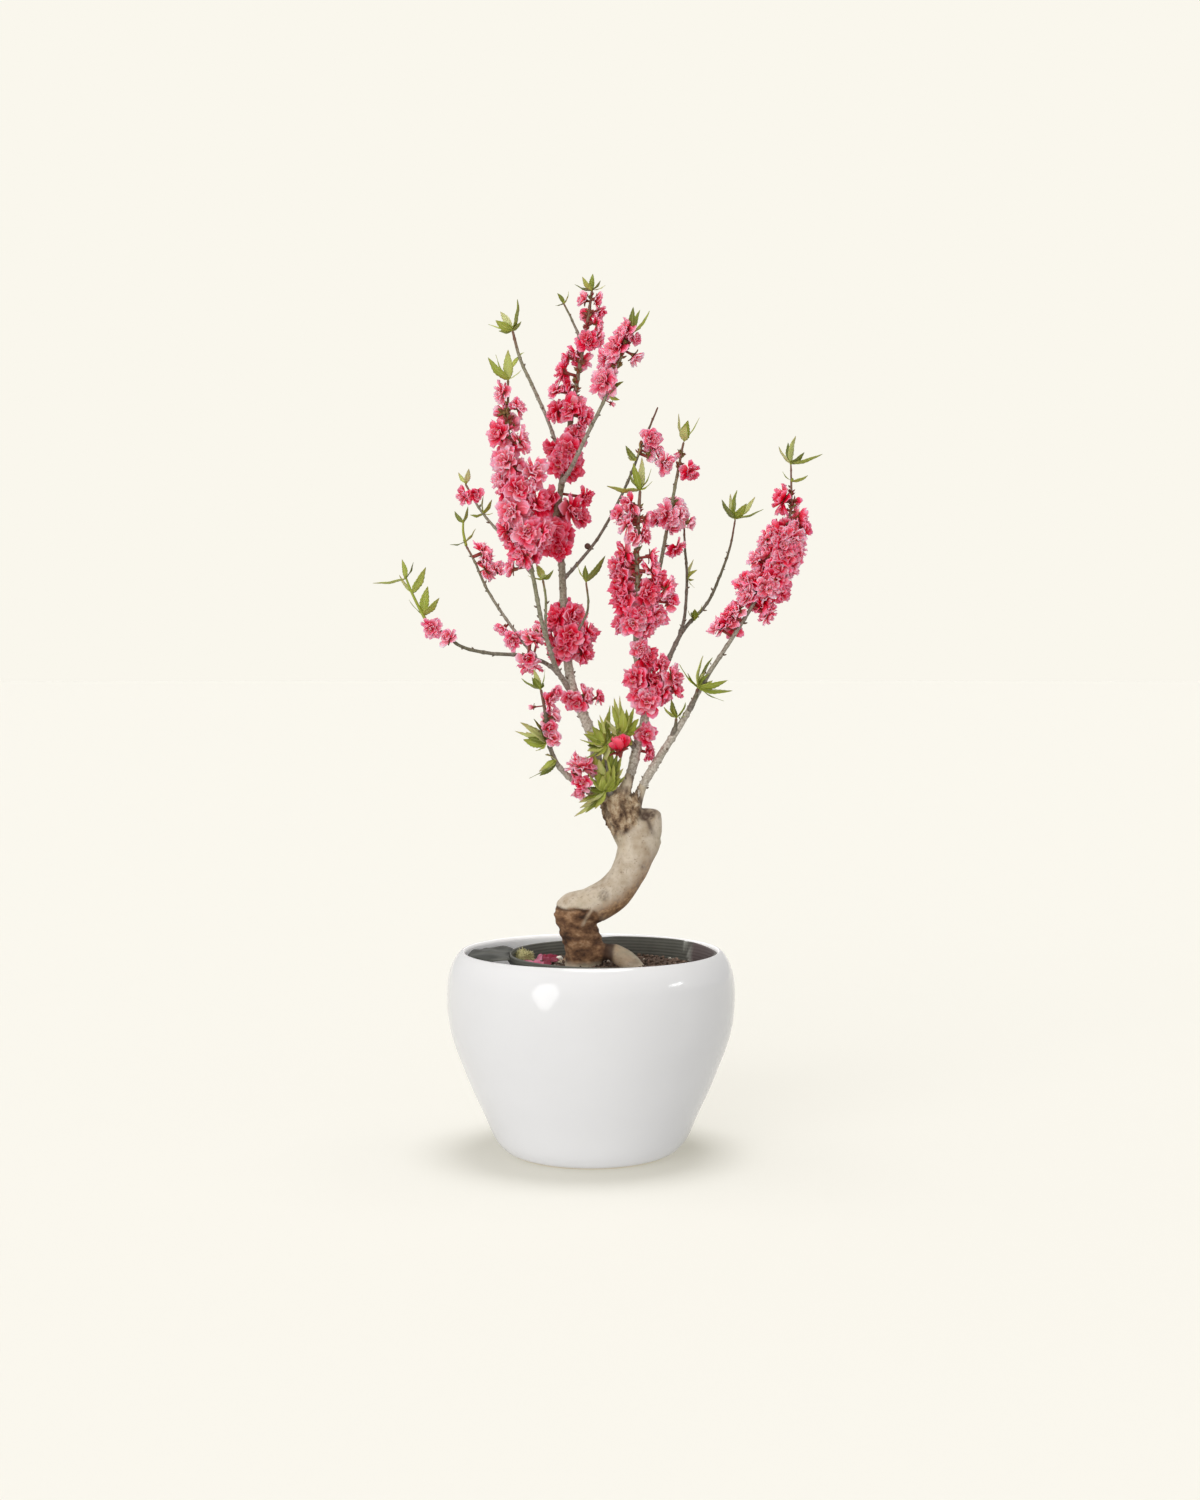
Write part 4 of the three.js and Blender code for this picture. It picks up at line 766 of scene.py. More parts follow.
def soil_finish():
    """Dark crumbly mix: each crumb has its own brown, and a few are white grit."""
    finish = Finish("potting_mix", Roughness=0.95)
    place = finish.place()
    parts = finish.tint()
    grain = finish.noise(place, 700, 6, 0.7)
    damp = finish.ramp(
        finish.noise(place, 55, 4),
        (0.3, srgb(62, 46, 36)), (0.55, srgb(92, 70, 55)), (0.8, srgb(122, 98, 80))
    )
    crumb = finish.ramp(
        parts[0], (0.0, srgb(58, 46, 38)), (0.45, srgb(104, 83, 68)), (0.8, srgb(140, 119, 103)),
        (0.95, srgb(146, 116, 100)), (0.98, srgb(204, 196, 182))
    )
    colour = finish.mix(parts[1], damp, crumb)
    finish.colour(finish.tinge(colour, grain, 0.45, srgb(30, 21, 15), "MULTIPLY"))
    finish.relief(grain, 0.0008, 0.8)
    return finish.material


def trunk_finish():
    """Old bark: smooth grey-tan wood with brown stains, specks and painted shade, and a dark crust at the
    foot and head.
    """
    finish = Finish("trunk_bark")
    place = finish.place()
    parts = finish.tint()
    # The tint: crust; stains and painted shade on the downward-facing bark; dark marks and painted shade.
    crust, stain_and_shade, knot = parts[0], parts[1], parts[2]
    broad = finish.noise(place, 26, 3)
    fine = finish.noise(place, 240, 6, 0.65)
    specks = finish.ramp(finish.noise(place, 420, 3, 0.5), (0.62, 0.0), (0.7, 1.0))
    smooth = finish.ramp(
        broad,
        (0.34, srgb(170, 152, 128)), (0.46, srgb(200, 187, 168)),
        (0.54, srgb(192, 177, 154)), (0.66, srgb(172, 164, 142))
    )
    smooth = finish.mix(finish.ramp(fine, (0.48, 0.0), (0.72, 0.42)), smooth, srgb(136, 114, 92))
    smooth = finish.tinge(smooth, specks, 0.5, srgb(100, 76, 58))
    rust = finish.ramp(fine, (0.33, srgb(96, 64, 42)), (0.5, srgb(152, 112, 74)), (0.65, srgb(190, 152, 112)))
    # Rust-brown: real stains on the root, and painted shade on the downward-facing bark.
    smooth = finish.mix(stain_and_shade, smooth, rust)
    brown = finish.ramp(
        finish.noise(finish.place((1, 1, 1.6)), 62, 5, 0.62),
        (0.36, srgb(64, 42, 27)), (0.46, srgb(106, 74, 50)),
        (0.56, srgb(142, 107, 76)), (0.68, srgb(186, 152, 120))
    )
    grey = finish.ramp(
        finish.noise(finish.place((1, 1, 0.8)), 105, 5, 0.68),
        (0.36, srgb(80, 60, 44)), (0.45, srgb(134, 108, 82)),
        (0.54, srgb(172, 148, 118)), (0.66, srgb(208, 190, 164))
    )
    height = finish.channels(place)[2]
    old = finish.mix(finish.math("GREATER_THAN", height, BARK_TURN), brown, grey)
    colour = finish.mix(crust, smooth, old)
    # Near-black: knots, specks, the drip and the sawn top, and painted shade in the hollow, the pits, the
    # graft crack and by the root.
    finish.colour(finish.mix(knot, colour, srgb(62, 41, 28)))
    finish.rough(finish.ramp(crust, (0.0, 0.6), (1.0, 0.9)))
    rough_height = finish.math("MULTIPLY", finish.noise(place, 160, 6, 0.75), crust)
    height = finish.math("ADD", rough_height, finish.math("MULTIPLY", fine, 0.25))
    finish.relief(height, 0.0018, 0.9)
    return finish.material


def twig_finish():
    """Young bark: pale grey on thick branches, brown on twigs, and green or red towards the tips."""
    finish = Finish("twig_bark", Roughness=0.62)
    place = finish.place()
    parts = finish.tint()
    mottle = finish.noise(place, 420, 5, 0.65)
    grey = finish.ramp(
        mottle, (0.3, srgb(126, 112, 99)), (0.48, srgb(178, 168, 154)), (0.65, srgb(214, 207, 195))
    )
    brown = finish.ramp(mottle, (0.3, srgb(50, 41, 35)), (0.55, srgb(80, 69, 58)), (0.75, srgb(112, 101, 86)))
    green = finish.ramp(mottle, (0.3, srgb(96, 104, 60)), (0.7, srgb(150, 152, 96)))
    colour = finish.mix(parts[0], grey, brown)
    colour = finish.mix(parts[1], colour, green)
    finish.colour(finish.mix(parts[2], colour, srgb(116, 62, 48)))
    rings = finish.noise(finish.place((1, 1, 3)), 900, 4, 0.7)
    finish.relief(rings, 0.0004, 0.7)
    return finish.material


def petal_finish(name, heart, middle, edge, blush, painted_glow):
    """Soft veined petals, deep at the foot, pale at the rim, with red light through them, painted red light
    and painted shade.
    """
    # Painted light: the petals are made faintly red-glowing, which lifts their dark parts.
    finish = Finish(
        name, Roughness=0.6, Subsurface_Weight=0.5, Subsurface_Scale=1.0,
        Subsurface_Radius=(0.003, 0.0007, 0.0009), Specular_IOR_Level=0.08,
        Emission_Strength=1.0, Emission_Color=(painted_glow, 0, 0.05 * painted_glow, 1)
    )
    finish.material.cycles.emission_sampling = "NONE"
    parts = finish.tint()
    stretched = finish.node("ShaderNodeMapping", Vector=finish.across(), Scale=(26, 2.2, 1))
    veins = finish.noise(stretched.outputs["Vector"], 1.0, 3)
    along = finish.math("ADD", parts[0], finish.math("MULTIPLY", finish.math("SUBTRACT", veins, 0.5), 0.35))
    colour = finish.ramp(along, (0.18, heart), (0.58, middle), (1.0, edge))
    blushing = finish.math("MULTIPLY", finish.ramp(parts[1], (0.35, 0.0), (1.0, 0.75)), parts[0])
    colour = finish.mix(blushing, colour, blush)
    # Painted shade: the less light the third channel holds, the more the petal is deepened to the heart
    # colour.
    shade = finish.math("MULTIPLY", finish.math("SUBTRACT", 1.0, parts[2]), 0.9)
    finish.colour(finish.mix(shade, colour, heart))
    finish.relief(veins, 0.0004, 0.35)
    return finish.material


def calyx_finish():
    """Dull red-brown and green cups behind the flowers."""
    finish = Finish("calyx", Roughness=0.6)
    parts = finish.tint()
    colour = finish.ramp(
        parts[1], (0.1, srgb(128, 18, 30)), (0.5, srgb(140, 50, 42)), (0.9, srgb(116, 110, 52))
    )
    mottle = finish.noise(finish.place(), 600, 4)
    finish.colour(finish.tinge(colour, mottle, 0.3, srgb(84, 32, 30)))
    return finish.material


def stamen_finish():
    """Pale threads with golden tips."""
    finish = Finish("stamens", Roughness=0.5)
    parts = finish.tint()
    finish.colour(finish.ramp(parts[0], (0.6, srgb(232, 150, 160)), (0.85, srgb(214, 160, 72))))
    return finish.material


def leaf_finish():
    """Young peach leaves: yellow-green, with a pale rib, side veins and some red-brown tips."""
    finish = Finish(
        "peach_leaf", Subsurface_Weight=0.12, Subsurface_Radius=(0.0008, 0.0016, 0.0004),
        Specular_IOR_Level=0.45
    )
    parts = finish.tint()
    veins = finish.node(
        "ShaderNodeTexWave", Vector=finish.across(), Scale=9.0, Distortion=0.8, Detail=1.0
    )
    veins.wave_type = "BANDS"
    veins.bands_direction = "DIAGONAL"
    young = finish.ramp(
        parts[2], (0.0, srgb(104, 112, 34)), (0.35, srgb(152, 162, 50)), (0.7, srgb(188, 194, 92)),
        (1.0, srgb(206, 205, 144))
    )
    young = finish.tinge(young, veins.outputs["Fac"], 0.22, srgb(92, 108, 36))
    young = finish.mix(finish.ramp(parts[1], (0.0, 0.55), (0.12, 0.0)), young, srgb(196, 204, 130))
    tips = finish.math("MULTIPLY", finish.ramp(parts[0], (0.7, 0.0), (1.0, 0.6)), parts[2])
    finish.colour(finish.mix(tips, young, srgb(158, 128, 84)))
    finish.rough(finish.ramp(finish.noise(finish.place(), 300, 3), (0.3, 0.42), (0.7, 0.58)))
    finish.relief(veins.outputs["Fac"], 0.0005, 0.4)
    return finish.material


def moss_finish():
    """Dull olive moss with pale tips."""
    finish = Finish("moss", Roughness=0.9)
    parts = finish.tint()
    colour = finish.ramp(
        parts[2], (0.0, srgb(128, 122, 76)), (0.5, srgb(184, 178, 126)), (1.0, srgb(224, 218, 174))
    )
    mottle = finish.noise(finish.place(), 500, 4)
    finish.colour(finish.tinge(colour, mottle, 0.35, srgb(66, 52, 32)))
    finish.relief(mottle, 0.0006, 0.6)
    return finish.material


def pebble_finish():
    """Dull off-white stone."""
    finish = Finish("white_pebble", Roughness=0.55)
    place = finish.place()
    mottle = finish.noise(place, 350, 5)
    finish.colour(finish.ramp(mottle, (0.3, srgb(206, 198, 182)), (0.6, srgb(240, 236, 226))))
    finish.relief(mottle, 0.0003, 0.5)
    return finish.material


GLAZE = glaze_finish()
LINER_PLASTIC = liner_finish()
POTTING_MIX = soil_finish()
OLD_BARK = trunk_finish()
TWIG_BARK = twig_finish()
PINK_PETAL = petal_finish(
    "pink_petals", srgb(208, 0, 30), srgb(240, 32, 74), srgb(255, 152, 181), srgb(255, 214, 226), 0.028
)
PALE_PETAL = petal_finish(
    "pale_petals", srgb(212, 14, 50), srgb(246, 92, 128), srgb(255, 180, 201), srgb(255, 222, 231), 0.028
)
FALLEN_PETAL = petal_finish(
    "fallen_petals", srgb(104, 24, 42), srgb(210, 88, 120), srgb(238, 140, 168), srgb(244, 180, 198), 0.0
)
CALYX = calyx_finish()
STAMEN = stamen_finish()
LEAF = leaf_finish()
MOSS = moss_finish()
PEBBLE = pebble_finish()


# Pot

def make_pot():
    """A glazed shell with a swollen belly and a rounded lip that leans inwards."""
    wall = [
        (78, 0), (78, 0), (80, 0.5), (89, 4), (97, 11), (103.5, 21), (113, 43), (125, 69), (135, 94),
        (143, 115), (148.5, 136), (150.9, 162), (149.9, 184), (146.5, 197), (142, 206), (138, 211),
        (134.8, 213), (132.9, 211.5), (132.8, 207), (138, 194), (142, 166), (130, 104), (108, 52), (96, 24),
        (88, POT_FLOOR), (88, POT_FLOOR),
    ]
    bm = new_bmesh()
    spin_profile(bm, [(0, 0), *rounded(wall, 4), (0, POT_FLOOR)], 160)
    layer = bm.verts.layers.float_color["tint"]
    # Mark the inner wall, where the glaze is painted lighter and made to glow (painted light).
    for v in bm.verts:
        height = v.co.z / MM
        middle = 145 if height < 190 else 139 - 0.2 * (height - 190)
        lit_inside = height > 150 and v.co.xy.length < middle * MM
        v[layer] = (1 if lit_inside else 0, 0, 0, 1)
    make_piece("glazed_pot", bm, [GLAZE], "glaze", "pot")


# Liner

def lean(point):
    """Shift a point sideways as the liner leans."""
    rise = (point.z / MM - LINER_LOW) / (LINER_RIM - LINER_LOW)
    point.x += (LINER_LEAN[0] + (LINER_LEAN[1] - LINER_LEAN[0]) * rise) * MM


def liner_radius(height):
    """The liner's inner radius at a height, in millimetres."""
    (inner, foot), (outer, top) = LINER_FOOT, LINER_TOP
    return inner + (height - foot) * (outer - inner) / (top - foot)


# Where the liner is creased, as an angle round its axis
CREASE_ANGLE = math.radians(39)


def make_liner():
    """A soft nursery pot with a rolled rim, ribs and one crease, and a folded flap at the left."""
    rib_heights = range(16, 200, 4)
    outer = [(76 + (z - LINER_LOW) * 32 / 191.7, z) for z in (60, 120, 200)]
    inner = [(liner_radius(z) + 0.25 * (i % 2), z) for i, z in enumerate(rib_heights)]
    profile = [
        (0, LINER_LOW), (76, LINER_LOW), *outer, (108.2, 202), (110, 203), (110.4, 206), (109.8, 209),
        (108.6, LINER_RIM), (107, LINER_RIM), (106.2, 209), *reversed(inner), (73.9, LINER_FOOT[1]),
        (0, LINER_FOOT[1]),
    ]
    bm = new_bmesh()
    spin_profile(bm, profile, 240)
    layer = bm.verts.layers.float_color["tint"]
    for v in bm.verts:
        angle = math.atan2(v.co.y, v.co.x)
        height = v.co.z / MM
        crease = (angle - CREASE_ANGLE - 0.006 * (height - 205)) / 0.026
        fold = math.exp(-crease ** 2) * fade(height, 150, 200)
        waver = 0.8 * math.sin(3 * angle + 1) * fade(height, 120, 210)
        v.co.xy *= 1 - (3.2 * fold - waver) * MM / max(v.co.xy.length, MM)
        beyond = fade(CREASE_ANGLE - angle, 0.02, 0.12) * fade(angle, -0.3, 0.2)
        back = fade(math.sin(angle), 0.2, 0.8) * fade(math.cos(angle), -0.4, 0.1)
        v.co.z += 3.4 * back * fade(height, 150, 208) * MM
        # Tint: a painted highlight along the crease, and painted shade on the wall past it.
        v[layer] = (fold, beyond * 0.8, 0, 1)
        lean(v.co)
    add_flap(bm)
    make_piece("nursery_liner", bm, [LINER_PLASTIC], "liner_plastic", "liner")


def add_flap(bm):
    """The liner's soft edge, folded out and down into the space on the left."""
    rows, columns = 12, 8
    hinge = [(-83, 26, 210.8), (-85, 8, 210.6), (-85.5, -12, 210.6), (-85, -32, 210.6), (-83, -52, 210.2)]
    edge = [(-112, 30, 210), (-124, 14, 210), (-129, -8, 209), (-124, -32, 208), (-106, -54, 207.5)]
    sheet = new_bmesh()
    grid = bmesh.ops.create_grid(sheet, x_segments=columns, y_segments=rows, size=1)["verts"]
    layer = sheet.verts.layers.float_color["tint"]
    for v in grid:
        out, run = (v.co.x + 1) / 2, (v.co.y + 1) / 2 * 4
        i = min(int(run), 3)
        share = run - i
        near = Vector(hinge[i]).lerp(Vector(hinge[i + 1]), share)
        far = Vector(edge[i]).lerp(Vector(edge[i + 1]), share)
        v.co = near.lerp(far, out) * MM
        v.co.z += (1.5 * math.sin(out * math.pi) + 0.8 * math.sin(run * 4 + out * 3)) * MM
        crumpled = fade(noise.noise(v.co * 60), -0.1, 0.25)
        v.co.z += 1.2 * crumpled * MM
        # Tint: a faint painted sheen on the smooth middle, and painted shade that darkens the flap, most in
        # its crumples.
        v[layer] = (0.15 * (1 - crumpled) * math.sin(out * math.pi) ** 2, 0, 0.3 + 0.7 * crumpled, 1)
    bmesh.ops.recalc_face_normals(sheet, faces=sheet.faces)
    bmesh.ops.solidify(sheet, geom=sheet.faces[:], thickness=0.8 * MM)
    bmesh.ops.recalc_face_normals(sheet, faces=sheet.faces)
    add_mesh(bm, to_mesh(sheet, "flap"))


# Soil, moss, pebble and fallen petals

def soil_height(x, y):
    """The ground's height in millimetres, at x, y in millimetres."""
    radius, angle = math.hypot(x - SOIL_CENTRE, y), math.atan2(y, x - SOIL_CENTRE)
    share = radius / 102
    spokes = 1.4 * math.sin(5 * angle + radius * 0.11)
    rings = 1.1 * math.sin(radius * 0.21 + 3 * angle + 1.3)
    return SOIL_EDGE + SOIL_MOUND * (1 - share * share) + (spokes + rings) * min(1, share * 2)


def make_soil():
    """A closed mound in the liner with loose crumbs, bark chips and grit on top."""
    edge = liner_radius(SOIL_SHOULDER) - 1
    rings = [edge * share / 34 for share in range(34)]
    top = [(radius, SOIL_EDGE) for radius in reversed(rings)]
    foot = (liner_radius(SOIL_LOW) - 1, SOIL_LOW)
    profile = [(0, SOIL_LOW), foot, (edge, SOIL_SHOULDER), *top]
    bm = new_bmesh()
    spin_profile(bm, profile, 120)
    layer = bm.verts.layers.float_color["tint"]
    for v in bm.verts:
        lean(v.co)
        if v.co.z > 190 * MM:
            rough = noise.fractal(v.co * 260, 0.8, 2.1, 4) * 0.8 * MM
            v.co.z = soil_height(v.co.x / MM, v.co.y / MM) * MM + rough
        v[layer] = (0.3, 0, 0, 1)
    crumb = new_bmesh()
    bmesh.ops.create_icosphere(crumb, subdivisions=1, radius=1)
    chip = to_mesh(crumb, "crumb")
    for i in range(CRUMBS):
        radius = CRUMB_REACH * math.sqrt((jitter(i, 71) + 1) / 2)
        angle = math.pi * jitter(i, 72)
        x, y = SOIL_CENTRE + radius * math.cos(angle), radius * math.sin(angle)
        size = 0.8 + 1.5 * ((jitter(i, 73) + 1) / 2) ** 3
        axis = Vector((jitter(i, 75), jitter(i, 76), 1)).normalized()
        turn = Matrix.Rotation(math.pi * jitter(i, 74), 4, axis)
        spot = Vector((x, y, soil_height(x, y) + 0.4 * size)) * MM
        place = Matrix.Translation(spot) @ turn @ sized(1.5 * size, size, 0.7 * size)
        tone = (jitter(i, 77) + 1) / 2
        add_mesh(bm, chip, place, lambda old: (tone, 1, 0, 1))
    make_piece("potting_soil", bm, [POTTING_MIX], "soil", "soil")


def rough_ball(swell, scale, seed):
    """A lumpy ball of radius 1."""
    bm = new_bmesh()
    bmesh.ops.create_icosphere(bm, subdivisions=3, radius=1)
    for v in bm.verts:
        v.co *= 1 + swell * noise.fractal(v.co * scale + Vector((seed, 0, 0)), 0.9, 2.0, 3)
    return bm


def set_down(bm, x, y, rise, size):
    """Bring a ball to a size in millimetres, and set it on the soil with its centre at a rise above it."""
    spot = Vector((x, y, soil_height(x, y) + rise)) * MM
    bmesh.ops.transform(bm, matrix=Matrix.Translation(spot) @ sized(*size), verts=bm.verts)


def make_pebble():
    """A small white stone that lies on the soil."""
    bm = rough_ball(0.22, 1.1, 5)
    set_down(bm, -34, 32, 3, (3.7, 3, 2.7))
    make_piece("white_pebble", bm, [PEBBLE], "pebble", "pebble")


def make_moss():
    """A small clump of moss: a lumpy cushion covered in short leafy threads."""
    bm = rough_ball(0.3, 1.6, 9)
    paint(bm, (0, 0, 0.5, 1))
    roots = [(v.co.copy(), v.co.normalized()) for v in bm.verts if v.co.z > -0.2]
    thread = new_bmesh()
    bmesh.ops.create_cone(thread, cap_ends=True, segments=3, radius1=0.07, radius2=0.01, depth=0.34)
    shoot = to_mesh(thread, "moss_thread")
    for i, (root, out) in enumerate(roots):
        stray = Vector((jitter(i, 81), jitter(i, 82), 0.6 * jitter(i, 83)))
        lean_out = (out + stray * 0.6).normalized()
        tone = 0.5 + 0.5 * jitter(i, 84)
        add_mesh(bm, shoot, upright(root + lean_out * 0.1, lean_out), lambda old: (0, 0, tone, 1))
    set_down(bm, -71, 27, 9, (10, 8, 9.5))
    make_piece("moss_cushion", bm, [MOSS], "moss", "moss_clump")


# Petals, flowers and buds

# A petal's grid
PETAL_CELLS = (4, 4)


def petal_mesh(length, width, cup, ruffle, seed):
    """One petal along +Y, foot at the origin, inner face up: a cupped sheet with a ruffled, notched rim."""
    bm = new_sheet()
    uv = bm.loops.layers.uv["petal"]
    layer = bm.verts.layers.float_color["tint"]
    grid = bmesh.ops.create_grid(bm, x_segments=PETAL_CELLS[0], y_segments=PETAL_CELLS[1], size=1)["verts"]
    for face in bm.faces:
        for loop in face.loops:
            loop[uv].uv = ((loop.vert.co.x + 1) / 2, (loop.vert.co.y + 1) / 2)
    phase = 3 * jitter(seed, 1)
    skew = 0.12 * jitter(seed, 2)
    tone = 0.5 + 0.5 * jitter(seed, 3)
    for v in grid:
        across, along = v.co.x, (v.co.y + 1) / 2
        half = width / 2 * (0.14 + 0.86 * math.sin(min(1, along / 0.74) * math.pi / 2) ** 1.2)
        half *= 1 - 0.34 * fade(along, 0.74, 1)
        notch = 0.07 * math.exp(-(across / 0.2) ** 2) * along ** 6
        wave = 0.7 * math.sin(3.4 * across + phase) + 0.4 * math.sin(6.5 * across - 1.7 * phase + 2.5 * along)
        rim = along ** 2 * (0.35 + 0.65 * across ** 2 + 0.5 * fade(along, 0.6, 1))
        v.co = (
            across * half * (1 + 0.05 * wave * along) + skew * along ** 2 * length * 0.5,
            length * (along * (1 - 0.17 * across ** 2 * along) - notch + 0.03 * wave * along ** 3),
            cup * length * along ** 2 + 0.22 * width * across ** 2 * along * (1 - 0.5 * along)
            + ruffle * length * rim * wave,
        )
        v[layer] = (along, tone, 1, 1)
    bmesh.ops.recalc_face_normals(bm, faces=bm.faces)
    bmesh.ops.solidify(bm, geom=bm.faces[:], thickness=PETAL_THICKNESS)
    return to_mesh(bm, f"petal_{seed}")


# Rings of petals from the outside in: count and lift in degrees, then length, width, cup and ruffle
# as shares of the flower's radius
OPEN_FLOWER = (
    (6, -12, 1.04, 0.78, 0.04, 0.1), (7, 10, 0.98, 0.6, 0.06, 0.12), (7, 30, 0.88, 0.5, 0.05, 0.14),
    (6, 50, 0.76, 0.42, 0.02, 0.16), (5, 70, 0.58, 0.34, -0.02, 0.18),
)
HALF_OPEN_FLOWER = (
    (5, 22, 1.05, 0.96, 0.1, 0.08), (5, 48, 0.98, 0.8, 0.06, 0.1), (4, 70, 0.84, 0.64, 0.0, 0.12),
)
FLOWER_BUD = ((5, 66, 1.15, 0.92, 0.12, 0.05), (4, 82, 1.0, 0.74, 0.04, 0.08))


def add_ring(bm, petals, count, lift, seed, base, light):
    """One ring of petals round the Z axis, a little uneven in turn, tilt and size."""
    for k in range(count):
        i = seed * 10 + k
        if lift < 0 and jitter(i, 25) > 0.5:
            continue
        petal = petals[(seed * 3 + k) % len(petals)]
        turn = 2 * math.pi * (k + 0.5 * (seed % 2) + 0.22 * jitter(i, 21)) / count
        tilt = math.radians(lift + 22 * jitter(i, 22))
        size = 1 + 0.2 * jitter(i, 23)
        matrix = (
            Matrix.Rotation(turn, 4, "Z") @ Matrix.Translation((0, base, 0)) @ Matrix.Rotation(tilt, 4, "X")
            @ Matrix.Rotation(0.6 * jitter(i, 24), 4, "Y") @ Matrix.Scale(size, 4)
        )
        add_mesh(bm, petal, matrix, lambda old: (old[0], old[1], light, 1))


def flower_mesh(rings, seed, threads):
    """A double flower, foot at the origin, opening along +Z, with a radius of about 1."""
    bm = new_sheet()
    depth = len(rings)
    for level, (count, lift, *shape) in enumerate(rings):
        petals = [petal_mesh(*shape, seed * 40 + level * 5 + k) for k in range(3)]
        # Inner rings get less light: painted shade that deepens them to the heart colour.
        base, light = 0.05 * (1 - level / depth), 1 - 0.5 * level / depth
        add_ring(bm, petals, count, lift, seed + level, base, light)
    add_calyx(bm, seed, 1 if depth > 3 else 1.35)
    if threads:
        add_threads(bm, seed, threads)
    return to_mesh(bm, f"flower_{seed}")


def add_calyx(bm, seed, size):
    """The cup that a flower stands in, with five pointed sepals."""
    cup = new_sheet()
    bmesh.ops.create_cone(cup, cap_ends=True, segments=8, radius1=0.07, radius2=0.2, depth=0.34)
    bmesh.ops.translate(cup, vec=(0, 0, -0.13), verts=cup.verts)
    sepal = new_sheet()
    for v in bmesh.ops.create_grid(sepal, x_segments=2, y_segments=3, size=1)["verts"]:
        across, along = v.co.x, (v.co.y + 1) / 2
        half = across * 0.13 * math.sin(math.pi * (0.22 + 0.74 * along))
        v.co = (half, along * 0.42, -0.1 * along ** 2 + 0.05 * across ** 2)
    bmesh.ops.solidify(sepal, geom=sepal.faces[:], thickness=0.03)
    sepal = to_mesh(sepal, "sepal")
    for k in range(5):
        turn = 2 * math.pi * (k + 0.2 * jitter(k, seed)) / 5
        tilt = math.radians(18 + 20 * jitter(k, seed + 1))
        out = Matrix.Rotation(turn, 4, "Z") @ Matrix.Translation((0, 0.12, -0.02))
        add_mesh(cup, sepal, out @ Matrix.Rotation(tilt, 4, "X"))
    paint(cup, (0, 0.5, 0, 1), 1)
    add_mesh(bm, to_mesh(cup, "calyx"), Matrix.Scale(size, 4))


def add_threads(bm, seed, count):
    """Stamens: thin threads with a small golden tip."""
    thread = new_sheet()
    bmesh.ops.create_cone(thread, cap_ends=True, segments=4, radius1=0.012, radius2=0.009, depth=0.4)
    tip = bmesh.ops.create_icosphere(thread, subdivisions=1, radius=0.032)["verts"]
    bmesh.ops.translate(thread, vec=(0, 0, 0.21), verts=tip)
    paint(thread, (0.2, 0, 0, 1), 2)
    layer = thread.verts.layers.float_color["tint"]
    for v in tip:
        v[layer] = (1, 0, 0, 1)
    bmesh.ops.translate(thread, vec=(0, 0, 0.2), verts=thread.verts)
    thread = to_mesh(thread, "thread")
    for k in range(count):
        out = Vector((0.45 * jitter(k, seed + 5), 0.45 * jitter(k, seed + 6), 1)).normalized()
        add_mesh(bm, thread, upright(Vector((0, 0, 0.02)), out, 1 + 0.25 * jitter(k, seed + 7)))


# A few flowers of each kind, which are turned and sized for every place
OPEN_FLOWERS = [flower_mesh(OPEN_FLOWER, 100 + k, 4) for k in range(7)]
HALF_OPEN_FLOWERS = [flower_mesh(HALF_OPEN_FLOWER, 200 + k, 5) for k in range(4)]
FLOWER_BUDS = [flower_mesh(FLOWER_BUD, 300 + k, 0) for k in range(3)]

# A flower's stalk, how far its foot lies behind its centre, its spread and its nod, as shares of its radius
FLOWER_STALK = 0.62
FLOWER_SINK = 0.34
FLOWER_SPREAD = 1.08
FLOWER_NOD = 0.42


def place_flower(line, x, z, radius, side):
    """A flower's root on its limb, its centre and the way it faces."""
    distance, u, root = line.nearest(x, z)
    reach = line.radius(u) + FLOWER_STALK * radius * MM
    depth = math.sqrt(max(0, reach ** 2 - distance ** 2))
    centre = seen(x, z, root.y / MM + side * depth / MM)
    return root, centre, (centre - root).normalized()


def add_single_bud(bm, limb, foot, tip, size):
    """Two tight buds, one in the other, on a stalk from the limb."""
    root = LINES[limb].nearest(foot[0], foot[1])[2]
    foot, tip = seen(*foot), seen(*tip)
    axis = (tip - foot).normalized()
    for k, shape in enumerate(FLOWER_BUDS[:2]):
        place = upright(foot + axis * 3 * k * MM, axis, size * (1 - 0.18 * k) * MM, 1.4 * k)
        # 0.8 in the third channel gives the bud a little painted shade.
        add_mesh(bm, shape, place, lambda old: (0.72 * old[0], 0.2 + 0.5 * old[1], 0.8, 1))
    along = (foot - root).normalized()
    tube(bm, [(root, along, 1.2 * MM), (foot, along, 1.5 * MM)], 6, lambda i: (0, 0.7, 0, 1), 1)


